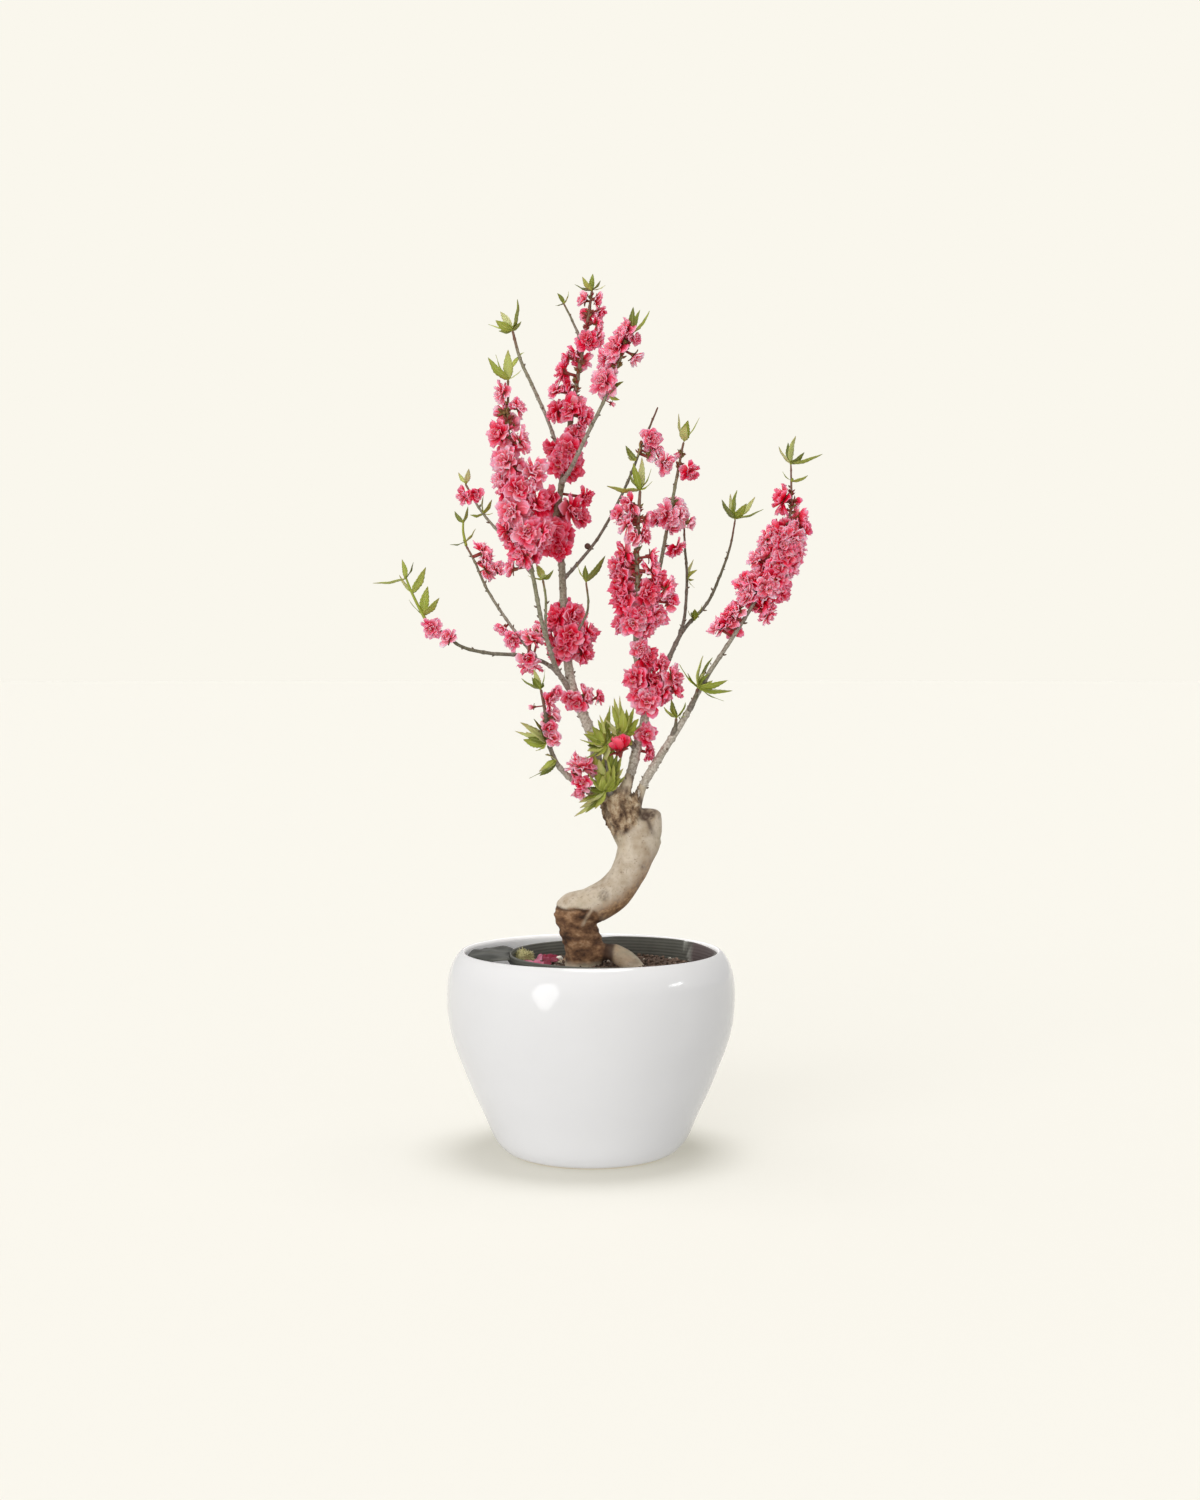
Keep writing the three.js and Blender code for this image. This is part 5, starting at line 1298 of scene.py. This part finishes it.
def add_flower(bm, line, flower, spray_tone, seed):
    """A bud, a half-open or an open flower, by its radius, on a stalk from its limb."""
    x, z, radius, side = flower
    root, centre, axis = place_flower(line, x, z, radius, side)
    nod = Vector((jitter(seed, 34), jitter(seed, 35) - (side < 1), jitter(seed, 36)))
    axis = (axis + nod * FLOWER_NOD).normalized()
    if radius < BUD:
        shapes = FLOWER_BUDS
    elif radius < HALF_OPEN:
        shapes = HALF_OPEN_FLOWERS
    else:
        shapes = OPEN_FLOWERS
    shape = shapes[int(abs(jitter(seed, 31)) * len(shapes)) % len(shapes)]
    foot = centre - axis * FLOWER_SINK * radius * MM
    tone = spray_tone + 0.3 * jitter(seed, 32)

    # A high tone adds blush and takes away painted shade; a low one does the opposite.
    def recolour(old):
        return (old[0], clamp(0.75 * old[1] + 0.9 * tone - 0.22), clamp(old[2] + 0.5 * (tone - 0.5)), 1)

    size = FLOWER_SPREAD * radius * MM
    add_mesh(bm, shape, upright(foot, axis, size, math.pi * jitter(seed, 33)), recolour)
    if (foot - root).length > 0.5 * MM:
        along = (foot - root).normalized()
        stalk = [(root, along, 0.13 * radius * MM), (foot, along, 0.15 * radius * MM)]
        tube(bm, stalk, 6, lambda i: (0, 0.5, 0, 1), 1)


def scale_mesh():
    """A pointed scale of length 2 along +Z, foot at the origin."""
    bm = new_bmesh()
    bmesh.ops.create_icosphere(bm, subdivisions=2, radius=1)
    for v in bm.verts:
        taper = 1 - 0.6 * max(0, v.co.z)
        v.co = (v.co.x * 0.42 * taper, v.co.y * 0.3 * taper, v.co.z + 0.9)
    paint(bm, (0, 0, 0, 1), 1)
    return to_mesh(bm, "scale")


SCALE = scale_mesh()


def add_clump(bm, line, x, z, size, seed):
    """Scales that stand out from a stem, most of them on the viewer's side."""
    u, root = line.nearest(x, z)[1:]
    heading = line.heading(u)
    front = (Vector((0, -1, 0)) + heading * heading.y).normalized()
    for k in range(10):
        side = Matrix.Rotation(2.2 * jitter(k, seed), 3, heading) @ front
        out = (side + heading * (0.9 + 0.6 * jitter(k, seed + 1))).normalized()
        spot = root + side * line.radius(u) * 0.7 + heading * size * jitter(k, seed + 2) * MM
        tone = 0.55 + 0.4 * jitter(k, seed + 3)
        grown = size * (0.85 + 0.22 * jitter(k, seed + 4)) * MM
        add_mesh(bm, SCALE, upright(spot, out, grown, 3 * jitter(k, seed + 5)), lambda old: (0, tone, 0, 1))


def make_sprays():
    """One piece for each spray of flowers."""
    for number, (node, (limb, tone, flowers)) in enumerate(SPRAYS.items()):
        bm = new_sheet()
        for i, flower in enumerate(flowers):
            add_flower(bm, LINES[limb], flower, tone, number * 31 + i)
        if node == SINGLE_BUD[0]:
            add_single_bud(bm, *SINGLE_BUD[1:])
        for i, (x, z, size) in enumerate(CLUMPS.get(node, [])):
            add_clump(bm, LINES[limb], x, z, size, 700 + number * 9 + i)
        pale = node in PALE_SPRAYS
        petals = PALE_PETAL if pale else PINK_PETAL
        name = node.replace("bloom", "blossom")
        make_piece(name, bm, [petals, CALYX, STAMEN], "petal_pale" if pale else "petal_pink", node)


# Where petals have fallen, as x and y in millimetres, the light that painted shade leaves them, and where the
# pink ones end
FALLEN = (
    (-63, 20), (-57, 31), (-48, 26), (-43, 36), (-51, 16), (-60, 42), (-38, 48), (-55, 50), (-64, 8),
    (-57, 4), (-46, 8), (-66, 14), (-59, 26), (-48, 38), (-40, 20), (10, 62), (-12, -52),
)
FALLEN_LIGHT = 0.92
FALLEN_PINK_END = -49


def make_fallen_petals():
    """Loose petals on the soil: pink at the left, and maroon elsewhere, all under painted shade and the
    maroon ones most.
    """
    bm = new_sheet()
    petals = [petal_mesh(1, 0.86, 0.03, 0.09, 400 + k) for k in range(3)]
    for i, (x, y) in enumerate(FALLEN):
        spot = Vector((x, y, soil_height(x, y) + 1.4 + 1.1 * (i % 4))) * MM
        tilt = Matrix.Rotation(0.5 + 0.25 * jitter(i, 42), 4, "X")
        turn = tilt @ Matrix.Rotation(math.pi * jitter(i, 41), 4, "Z")
        size = (11 + 2 * jitter(i, 43)) * MM
        centred = Matrix.Translation((0, -0.5, 0))
        place = Matrix.Translation(spot) @ turn @ Matrix.Scale(size, 4) @ centred
        # Right of the pink ones, petals take a deeper colour and more painted shade.
        pink_share = 1 if x < FALLEN_PINK_END else 0.4

        def deepen_and_shade(old):
            return ((0.4 + 0.5 * old[0]) * pink_share, old[1], FALLEN_LIGHT * pink_share, 1)

        add_mesh(bm, petals[i % 3], place, deepen_and_shade)
    make_piece("fallen_petals_on_soil", bm, [FALLEN_PETAL], "petal_pink", "fallen_petals")


# Leaves

# A blade's grid, how far it arches, and how much fuller it is than its drawn width
LEAF_CELLS = (4, 14)
LEAF_BOW = 0.25
LEAF_FULLNESS = 1.4

# The width of the small leaves that fill a tuft, and the length below which one is left out
FILL_WIDTH = 4.5 * MM
FILL_SHORTEST = 6 * MM


def leaf_mesh(seed):
    """A lance-shaped leaf of length and width 1 along +Y, folded at the rib and arched, its edge toothed."""
    bm = new_sheet()
    uv = bm.loops.layers.uv["petal"]
    layer = bm.verts.layers.float_color["tint"]
    grid = bmesh.ops.create_grid(bm, x_segments=LEAF_CELLS[0], y_segments=LEAF_CELLS[1], size=1)["verts"]
    for face in bm.faces:
        for loop in face.loops:
            loop[uv].uv = (abs(loop.vert.co.x), (loop.vert.co.y + 1) / 2)
    fold = 0.22 + 0.12 * jitter(seed, 51)
    wave = 0.09 + 0.04 * jitter(seed, 52)
    phase = 3 * jitter(seed, 53)
    bend = 0.05 * jitter(seed, 54)
    for v in grid:
        across, along = v.co.x, (v.co.y + 1) / 2
        half = 0.5 * (math.sin(math.pi * along ** 0.75) ** 0.85) + 0.09 * (1 - along)
        tooth = 1 + 0.08 * (1 if round(along * LEAF_CELLS[1]) % 2 else -1) * abs(across) ** 3
        rise = fold * abs(across) * half + wave * math.sin(11 * along + phase) * across ** 2 * half * 2
        rise += LEAF_BOW * math.sin(math.pi * along)
        v.co = (across * half * tooth + bend * math.sin(math.pi * along) * 3, along, rise)
        v[layer] = (along, abs(across), 0.5, 1)
    bmesh.ops.recalc_face_normals(bm, faces=bm.faces)
    if sum(face.normal.z for face in bm.faces) < 0:
        bmesh.ops.reverse_faces(bm, faces=bm.faces)
    bmesh.ops.solidify(bm, geom=bm.faces[:], thickness=LEAF_THICKNESS)
    return to_mesh(bm, f"leaf_{seed}")


LEAVES = [leaf_mesh(k) for k in range(6)]


def add_leaf(bm, root, axis, tip, width, seed):
    """A leaf from root to tip, arched over, with its face turned towards the tuft's axis."""
    along = tip - root
    length = along.length
    along.normalize()
    side = axis.cross(along)
    if side.length < 0.2:
        side = Vector((along.z, 0, -along.x))
    side.normalize()
    face = along.cross(side).normalized()
    twist = 0.5 * jitter(seed, 55)
    side = (side * math.cos(twist) + face * math.sin(twist)).normalized()
    face = side.cross(along).normalized()
    matrix = facing(root, side * width * LEAF_FULLNESS, along * length, face * width)
    tone = 0.5 + 0.5 * jitter(seed, 56)
    shape = LEAVES[int(abs(jitter(seed, 57)) * len(LEAVES)) % len(LEAVES)]
    add_mesh(bm, shape, matrix, lambda old: (old[0], old[1], tone, 1))


def add_tuft(bm, foot, leaves, seed, fill=0):
    """A tuft of leaves from one foot, filled with smaller leaves between them, round a bud."""
    root = seen(*foot)
    tips = [seen(x, z, foot[2] + beyond * LEAF_SPREAD) for x, z, beyond, width in leaves]
    axis = Vector()
    for tip in tips:
        axis += (tip - root).normalized()
    axis.normalize()
    for i, (tip, leaf) in enumerate(zip(tips, leaves)):
        add_leaf(bm, root, axis, tip, leaf[3] * MM, seed + i)
    for i in range(fill):
        first, second = tips[i % len(tips)], tips[(i * 2 + 1) % len(tips)]
        share = 0.5 + 0.35 * jitter(seed + i, 58)
        reach = 0.62 + 0.2 * jitter(seed + i, 59)
        tip = root + (first.lerp(second, share) - root) * reach
        tip += Vector((jitter(seed + i, 60), jitter(seed + i, 61), jitter(seed + i, 62))) * 4 * MM
        if (tip - root).length > FILL_SHORTEST:
            add_leaf(bm, root, axis, tip, FILL_WIDTH, seed + 40 + i)
    bud = new_sheet()
    bmesh.ops.create_icosphere(bud, subdivisions=2, radius=1)
    paint(bud, (0.9, 0.5, 0.2, 1))
    add_mesh(bm, to_mesh(bud, "leaf_bud"), upright(root + axis * MM, axis) @ sized(1.5, 1.5, 2.4))


def make_leaves():
    """One piece for each tuft, and one for each green shoot with its tufts."""
    for number, (node, (foot, fill, leaves)) in enumerate(TUFTS.items()):
        bm = new_sheet()
        add_tuft(bm, foot, leaves, number * 17, fill)
        make_piece(node.replace("leaf", "foliage"), bm, [LEAF, TWIG_BARK], "leaf_green", node)
    for number, (node, (stem, tufts)) in enumerate(SHOOTS.items()):
        bm = new_sheet()
        line = Limb(stem)
        tube(bm, line.rings(line.spans * 5), 8, lambda i: (0.2, 0.5, 0.3, 1))
        for i, (foot, leaves) in enumerate(tufts):
            add_tuft(bm, foot, leaves, 500 + number * 17 + i * 5)
        make_piece(node.replace("leaf", "shoot"), bm, [LEAF], "leaf_green", node)


# Wood

def knot(point, centre, radius):
    """1 at a knot's centre, fading to 0 at its radius."""
    return 1 - fade((point - Vector(centre) * MM).length, 0.3 * radius * MM, radius * MM)


def ridge_at(z):
    """Where the pale ridge of the graft runs, in x, at a height in millimetres."""
    return 0.5 - (GRAFT - z) * 0.5


def crust_at(point):
    """How dark and rough the old bark is: below the graft line, and all over the head."""
    x, z = point.x / MM, point.z / MM
    ragged = 1.6 * noise.noise(point * 110) + 0.8 * noise.noise(point * 420)
    line = GRAFT + 0.5 + 0.6 * math.sin(0.3 * x) if x < ridge_at(z) else GRAFT - 1.2 * max(0, x - 1)
    soft = 1 if x < ridge_at(z) else 3
    foot = 1 - fade(z + ragged * soft, line - 1.2 * soft, line + 1.2 * soft)
    ridge = math.exp(-((x - ridge_at(z) + 0.5 * ragged) / 2) ** 2)
    ridge *= fade(z, 238, 246) * fade(-point.y / MM, 0, 8)
    edge = 328 + (x - 27) * 0.55 if x < 47 else 339 + (x - 47) * 2.9
    patchy = 9 * noise.noise(point * 80) + 5 * noise.noise(point * 240)
    head = fade(z + patchy, edge - 4, edge + 12) * (1 - fade(x, 50, 54)) * (1 - 0.7 * fade(z, 372, 392))
    return max(foot * fade(z, 196, 205) * (1 - root_at(point)) * (1 - ridge), head)


ROOT_POINTS = [LINES["surface_root"].point(i / 24) for i in range(25)]


def root_at(point):
    """1 on the smooth surface root, fading to 0 where it leaves the trunk."""
    if point.z > 232 * MM or point.x < 8 * MM:
        return 0
    gap = min((point - centre).length for centre in ROOT_POINTS) / MM
    return (1 - fade(gap, 9, 13)) * fade(point.x / MM, 13, 22)


# How many spans of a scaffold's foot are grown into the head
GROWN_IN = 1.5

# Marks on the trunk, as a centre and a reach: a ringed knot, a specked knot and the sawn top's hollow,
# darkened with painted shade
RINGED_KNOT = ((13, -24, 273), 9)
SPECKED_KNOT = ((55, -20, 303), 8)
HOLLOW = ((57, -9, 357), 10)

# Where the trunk bulges: the centre, the reach and the push outwards
SWELLINGS = (
    ((-36, 0, 253), 20, (-4, 0, 1)), ((-24, 0, 268), 20, (-2.5, 0, 2.5)), ((72, 2, 328), 24, (4, 0, 0)),
    ((10, -4, 220), 28, (5.5, 0, 0)), ((-32, -4, 208), 26, (5, 0, 0)),
)


def rounded_end(centre, heading, radius):
    """Rings that close a sawn end with a rounded edge."""
    rings = ((-2.5, 0.99), (-0.8, 0.92), (0.6, 0.78), (1.4, 0.55))
    return [(centre + heading * rise * MM, heading, radius * share) for rise, share in rings]


def weld_trunk():
    """Trunk, head, roots and the feet of the scaffolds, grown together under one smooth skin."""
    bm = new_bmesh()
    for name in TRUNK_PARTS:
        line = LINES[name]
        places = line.rings(line.spans * 6)
        if name == "trunk":
            places[-1:] = rounded_end(*places[-1])
        tube(bm, places, 24, lambda i: (0, 0, 0, 1))
    for name in SCAFFOLDS:
        line = LINES[name]
        places = []
        for i in range(9):
            u = GROWN_IN / line.spans * i / 8
            places.append((line.point(u), line.heading(u), line.radius(u) * (1.22 - 0.47 * i / 8)))
        tube(bm, places, 16, lambda i: (0, 0, 0, 1))
    bmesh.ops.recalc_face_normals(bm, faces=bm.faces)
    block = add_object("trunk_block", to_mesh(bm, "trunk_block"))
    remesh = block.modifiers.new("weld", "REMESH")
    remesh.mode = "VOXEL"
    remesh.voxel_size = VOXEL
    graph = bpy.context.evaluated_depsgraph_get()
    welded = bpy.data.meshes.new_from_object(block.evaluated_get(graph))
    bpy.data.objects.remove(block)
    bm = bmesh.new()
    bm.from_mesh(welded)
    if "tint" not in bm.verts.layers.float_color:
        bm.verts.layers.float_color.new("tint")
    for repeat in range(3):
        bmesh.ops.smooth_vert(
            bm, verts=bm.verts, factor=0.5, use_axis_x=True, use_axis_y=True, use_axis_z=True
        )
    bm.normal_update()
    return bm


def crust_relief(point, crust):
    """How far crusted bark stands out in millimetres, and how deep its pits are from 0 to 1."""
    x, z = point.x / MM, point.z / MM
    head = fade(z, 318, 345)
    plates = noise.fractal(point * (190 + 120 * head), 0.6, 2.3, 5)
    streak = Vector((point.x * 190, point.y * 190, point.z * 85))
    pits = fade(noise.noise(streak + Vector((3, 1, 7))), 0.08, 0.42) * head
    folds = math.sin((z + 6 * noise.noise(point * 42) + 0.3 * x) * 0.72) * (1 - head)
    return crust * (plates * (0.5 + 1.2 * head) - 0.4 - 1.8 * pits + 0.55 * folds), pits


def bark_at(point, normal):
    """The trunk's tint of crust, stains and dark, with painted shade, how far the bark stands out, and how
    hollow it is.
    """
    x, z = point.x / MM, point.z / MM
    crust = crust_at(point)
    rough, pits = crust_relief(point, crust)
    lumps = noise.noise(point * 60) * 0.9 + noise.noise(point * 150) * 0.35
    step = crust * fade(z, 215, 250) * (1 - fade(z, 262, 266)) * 1.2
    blotch = clamp(0.55 + 0.7 * noise.noise(point * 520 + Vector((8, 3, 2))) + 0.3 * noise.noise(point * 190))
    ring = knot(point, *RINGED_KNOT)
    speck = knot(point, *SPECKED_KNOT)
    hollow = knot(point, *HOLLOW) * clamp(1.1 + 0.9 * noise.noise(point * 260))
    height = 0.6 * lumps + rough - step + 0.5 * ring - 0.5 * ring * blotch

    # Painted shade: bark that faces down takes the rust-brown colour of the stains.
    underside_shade = fade(-normal.z, -0.15, 0.6) * 0.9 * fade(z, 235, 255) * (1 - fade(z, 300, 335))
    stain_and_shade = max(underside_shade, (0.45 - 0.25 * fade(x, 24, 38)) * root_at(point))
    drip = math.exp(-((x - 57.5 - (355 - z) * 0.35) / 2.6) ** 2)
    drip *= fade(z, 328, 346) * fade(-point.y / MM, 0, 6)
    top = fade(z + 7 * noise.noise(point * 230), 350, 357) * fade(x, 47, 50) * (1 - fade(z, 362.5, 366))
    top *= clamp(0.75 + 1.1 * noise.noise(point * 330)) * (1 - 0.6 * fade(x, 64, 70))
    # Painted shade: near-black between the trunk and the surface root.
    fork = fade(x, 8, 12) * (1 - fade(x, 20, 26)) * (1 - fade(z, 222, 230)) * fade(z, 193, 197)
    # A dark crack along the graft, partly painted shade under its ledge.
    seam = math.exp(-((z - GRAFT + 0.6 - 0.6 * math.sin(0.3 * x)) / 1.4) ** 2)
    seam *= (1 - fade(x, -3, 0)) * fade(x, -60, -36)
    # Dark marks: real knots, specks, drip and sawn top, and painted shade in the hollow, beside the root and
    # in the crust's pits.
    dark = max(
        0.98 * hollow, 0.7 * ring * blotch, 0.55 * speck * blotch, 0.8 * drip, 0.9 * top, 0.8 * seam,
        0.93 * fork, 0.62 * pits * crust
    )
    return (crust, clamp(stain_and_shade), clamp(dark), 1), height, hollow


def trunk_mesh():
    """The welded trunk with its sawn top, graft step, bark and knots."""
    bm = weld_trunk()
    layer = bm.verts.layers.float_color["tint"]
    for v in bm.verts:
        v[layer], height, hollow = bark_at(v.co, v.normal)
        move = v.normal * height * MM + Vector((0, 1, -2.4)) * hollow * MM
        for centre, reach, push in SWELLINGS:
            share = 1 - ((v.co - Vector(centre) * MM).length / (reach * MM)) ** 2
            if share > 0:
                move += Vector(push) * MM * share ** 2
        v.co += move
    return to_mesh(bm, "trunk")


def limb_places(line, seed, grown_in, slimness):
    """Rings along a limb: a collar at the fork, small swellings at the nodes and a slight waver."""
    length = line.length()
    count = max(6, round(length / RING_SPACING))
    places = []
    for i in range(count + 1):
        u = i / count
        travelled = length * u
        node = max(0, math.cos(2 * math.pi * (travelled / NODE_SPACING + jitter(seed, 61)))) ** 10
        if grown_in:
            foot = 0.68 + 0.32 * fade(u * line.spans, 0.5, GROWN_IN) - 1
        else:
            collar = 0.35 * math.exp(-((travelled - 6 * MM) / (5 * MM)) ** 2)
            foot = collar - 0.9 * math.exp(-travelled / (2.5 * MM))
        slim = slimness[0] + (slimness[1] - slimness[0]) * fade(u, 0.15, 0.5)
        radius = line.radius(u) * (1 + 0.28 * node + foot) * slim
        waver = 0.25 * MM * fade(travelled, 0, 10 * MM)
        drift = [noise.noise(Vector((travelled * 120, seed, key))) for key in (1, 9)]
        centre = line.point(u) + Vector((drift[0], 0, drift[1])) * waver
        places.append((centre, line.heading(u), radius))
    tip, heading, radius = places[-1]
    places.append((tip + heading * 1.6 * MM, heading, 0.5 * radius))
    return places


# How brown and how green each limb is at its tip
LIMB_TONES = {
    "left_scaffold": (0.6, 0.35), "centre_scaffold": (0.65, 0.3), "branch_f": (0.65, 0.15),
    "low_left": (0.9, 0.1), "green_stem": (0.5, 0.9), "left_column": (0.7, 0.75), "thin_twig": (0.9, 0.45),
    "branch_c": (0.7, 0.45), "top_left_twig": (0.62, 0.35), "right_top": (0.6, 0.45),
    "small_top_twig": (0.8, 0.4), "left_third": (0.6, 0.3), "left_second": (0.75, 0.3),
}
DEFAULT_TONE = (0.95, 0.2)

# Limbs that look slimmer than their drawn radius, at the foot and beyond it
SLIMNESS = {
    "left_column": (0.8, 0.8), "low_left": (0.8, 0.8), "branch_f": (1.02, 0.7), "spur_low": (0.8, 0.8),
    "branch_e": (1, 0.82), "top_left_twig": (1, 1.2),
}


def add_limb(bm, name, seed):
    """A limb with bark that runs from grey at the foot to its own brown and green."""
    places = limb_places(LINES[name], seed, name in SCAFFOLDS, SLIMNESS.get(name, (1, 1)))
    brown, green = LIMB_TONES.get(name, DEFAULT_TONE)
    start_brown = 0.05 if name in SCAFFOLDS else 0.75 * brown
    last = len(places) - 1

    def tone(i):
        share = i / last
        patch = 0.12 * noise.noise(Vector((share * 20, seed, 4)))
        foot = 0.6 * (1 - fade(share, 0.04, 0.16)) if name in ("left_scaffold", "centre_scaffold") else 0
        brownness = start_brown + (brown - start_brown) * fade(share, 0.15, 0.7) + patch + foot
        greenness = green * fade(share, 0.1, 0.8) + patch
        return (clamp(brownness), clamp(greenness), 0.7 * fade(share, 0.76, 0.95), 1)

    tube(bm, places, 14 if name in SCAFFOLDS else 9, tone, 1)


# Limbs without twig buds
BUDLESS = ("spur_low", "spur_front", "spur_f", "spur_f_low", "low_left")


def add_twig_buds(bm, name, seed):
    """Small pointed buds and short spurs, one at each node, on alternate sides."""
    line = LINES[name]
    length = line.length()
    bud = new_bmesh()
    bmesh.ops.create_icosphere(bud, subdivisions=2, radius=1)
    for v in bud.verts:
        if v.co.z > 0:
            v.co.xy *= 1 - 0.75 * v.co.z ** 2
    paint(bud, (0, 0, 0, 1), 1)
    shape = to_mesh(bud, "twig_bud")
    for i in range(1, int(length / NODE_SPACING)):
        u = (i + 0.3 * jitter(i, seed)) * NODE_SPACING / length
        heading = line.heading(u)
        turn = math.pi * (i + 0.5 * jitter(i, seed + 1))
        side = (Matrix.Rotation(turn, 3, heading) @ Vector((1, 0, 0)).cross(heading)).normalized()
        out = (side + heading * 0.9).normalized()
        size = (0.8 + 0.35 * jitter(i, seed + 2)) * MM
        spot = line.point(u) + side * line.radius(u)
        pointed = Matrix.Diagonal((1, 1, 2.2 + 0.8 * jitter(i, seed + 3), 1))
        brown = 0.85 + 0.15 * jitter(i, seed + 4)
        place = upright(spot + out * size, out, size) @ pointed
        add_mesh(bm, shape, place, lambda old: (brown, 0.15, 0.25, 1))


def add_gall(bm):
    """A round dark gall that hangs from the long twig."""
    root = LINES["long_twig"].nearest(1, 638)[2]
    centre = seen(-3.6, 635.5, root.y / MM - 2)
    along = (centre - root).normalized()
    tube(bm, [(root, along, 0.7 * MM), (centre, along, 0.6 * MM)], 6, lambda i: (1, 0.1, 0.2, 1), 1)
    ball = new_bmesh()
    bmesh.ops.create_icosphere(ball, subdivisions=2, radius=3.4 * MM)
    paint(ball, (1, 0, 0.3, 1), 1)
    add_mesh(bm, to_mesh(ball, "gall"), Matrix.Translation(centre))


def make_wood():
    """The whole tree's wood as one piece: the trunk, then every limb."""
    bm = new_bmesh()
    add_mesh(bm, trunk_mesh())
    young = [name for name in LIMBS if name not in TRUNK_PARTS]
    for seed, name in enumerate(young):
        add_limb(bm, name, seed)
        if name not in BUDLESS:
            add_twig_buds(bm, name, 90 + seed * 5)
    add_gall(bm)
    make_piece("trunk_and_branches", bm, [OLD_BARK, TWIG_BARK], "bark", "tree_wood")


# Stage, light and camera

CREAM = srgb(250, 247, 237)
FLOOR_SHADE = 0.68
FLOOR_GLOW = (0.142, 0.126, 0.063)

# How bright the surround is: an axis, how far along it the change runs, and the values at its two ends
SURROUND = (("Z", 0.5, 0.99, 0.76), ("X", 1, 0.9, 0.73))


def make_floor():
    """A wide pale floor that runs out to the horizon."""
    finish = Finish("pale_floor", Roughness=0.9, Specular_IOR_Level=0.0, Emission_Strength=1.0)
    finish.colour((FLOOR_SHADE, FLOOR_SHADE, FLOOR_SHADE, 1))
    finish.feed(finish.shader.inputs["Emission Color"], (*FLOOR_GLOW, 1))
    bm = bmesh.new()
    bmesh.ops.create_circle(bm, cap_ends=True, radius=60, segments=64)
    floor = add_object("floor", to_mesh(bm, "floor"))
    floor.data.materials.append(finish.material)
    floor.visible_diffuse = False


def make_world():
    """Cream behind the scene, and a surround that lights it, brighter below and at the left."""
    world = bpy.data.worlds.new("studio")
    world.use_nodes = True
    tree = world.node_tree
    backdrop = tree.nodes["Background"]
    backdrop.inputs["Color"].default_value = CREAM
    direction = tree.nodes.new("ShaderNodeTexCoord").outputs["Generated"]
    split = tree.nodes.new("ShaderNodeSeparateXYZ")
    tree.links.new(direction, split.inputs[0])
    strength = tree.nodes.new("ShaderNodeMath")
    strength.operation = "MULTIPLY"
    for socket, (axis, reach, first, last) in zip(strength.inputs, SURROUND):
        change = tree.nodes.new("ShaderNodeMapRange")
        limits = {"From Min": -reach, "From Max": reach, "To Min": first, "To Max": last}
        for name, value in limits.items():
            change.inputs[name].default_value = value
        tree.links.new(split.outputs[axis], change.inputs["Value"])
        tree.links.new(change.outputs["Result"], socket)
    surround = tree.nodes.new("ShaderNodeBackground")
    surround.inputs["Color"].default_value = (1.0, 0.99, 0.97, 1)
    tree.links.new(strength.outputs[0], surround.inputs["Strength"])
    seen_by_eye = tree.nodes.new("ShaderNodeLightPath").outputs["Is Camera Ray"]
    mix = tree.nodes.new("ShaderNodeMixShader")
    tree.links.new(seen_by_eye, mix.inputs[0])
    tree.links.new(surround.outputs[0], mix.inputs[1])
    tree.links.new(backdrop.outputs[0], mix.inputs[2])
    tree.links.new(mix.outputs[0], tree.nodes["World Output"].inputs["Surface"])
    bpy.context.scene.world = world


def make_sun(name, direction, strength, spread, glossy):
    """A soft light from one direction, which shows in the glaze only if it is glossy."""
    lamp = bpy.data.lights.new(name, "SUN")
    lamp.energy = strength
    lamp.angle = math.radians(spread)
    lamp.color = (1.0, 0.985, 0.96)
    light = add_object(name, lamp)
    light.rotation_euler = Vector(direction).to_track_quat("-Z", "Y").to_euler()
    light.visible_glossy = glossy


def make_softbox(name, place, target, width, height, power):
    """A lamp that only makes a highlight in glossy surfaces."""
    lamp = bpy.data.lights.new(name, "AREA")
    lamp.shape = "ELLIPSE"
    lamp.size = width
    lamp.size_y = height
    lamp.energy = power
    light = add_object(name, lamp)
    light.location = place
    aim = Vector(target) - Vector(place)
    light.rotation_euler = aim.to_track_quat("-Z", "Y").to_euler()
    light.visible_diffuse = False
    light.visible_camera = False


def make_camera():
    """The photograph's own view."""
    lens = bpy.data.cameras.new("view")
    lens.lens = LENS
    lens.sensor_width = SENSOR
    camera = add_object("view", lens)
    camera.location = EYE
    camera.rotation_euler = (math.pi / 2 - PITCH, 0, 0)
    bpy.context.scene.camera = camera


make_camera()
make_floor()
make_world()
make_sun("key_sun", (0.40, 0.91, -0.12), 1.92, 56, False)
make_sun("top_sun", (-0.05, -0.06, -1), 1.5, 30, True)
make_softbox("front_softbox", (-0.94, -1.34, 0.6), (0, 0, 0.2), 0.6, 1.15, 7.6)
make_softbox("side_softbox", (1.42, -0.46, 0.74), (0, 0, 0.2), 0.38, 0.08, 0.9)

make_pot()
make_liner()
make_soil()
make_pebble()
make_moss()
make_fallen_petals()
make_wood()
make_sprays()
make_leaves()

settings = bpy.context.scene.view_settings
settings.view_transform = "Standard"
settings.look = "None"
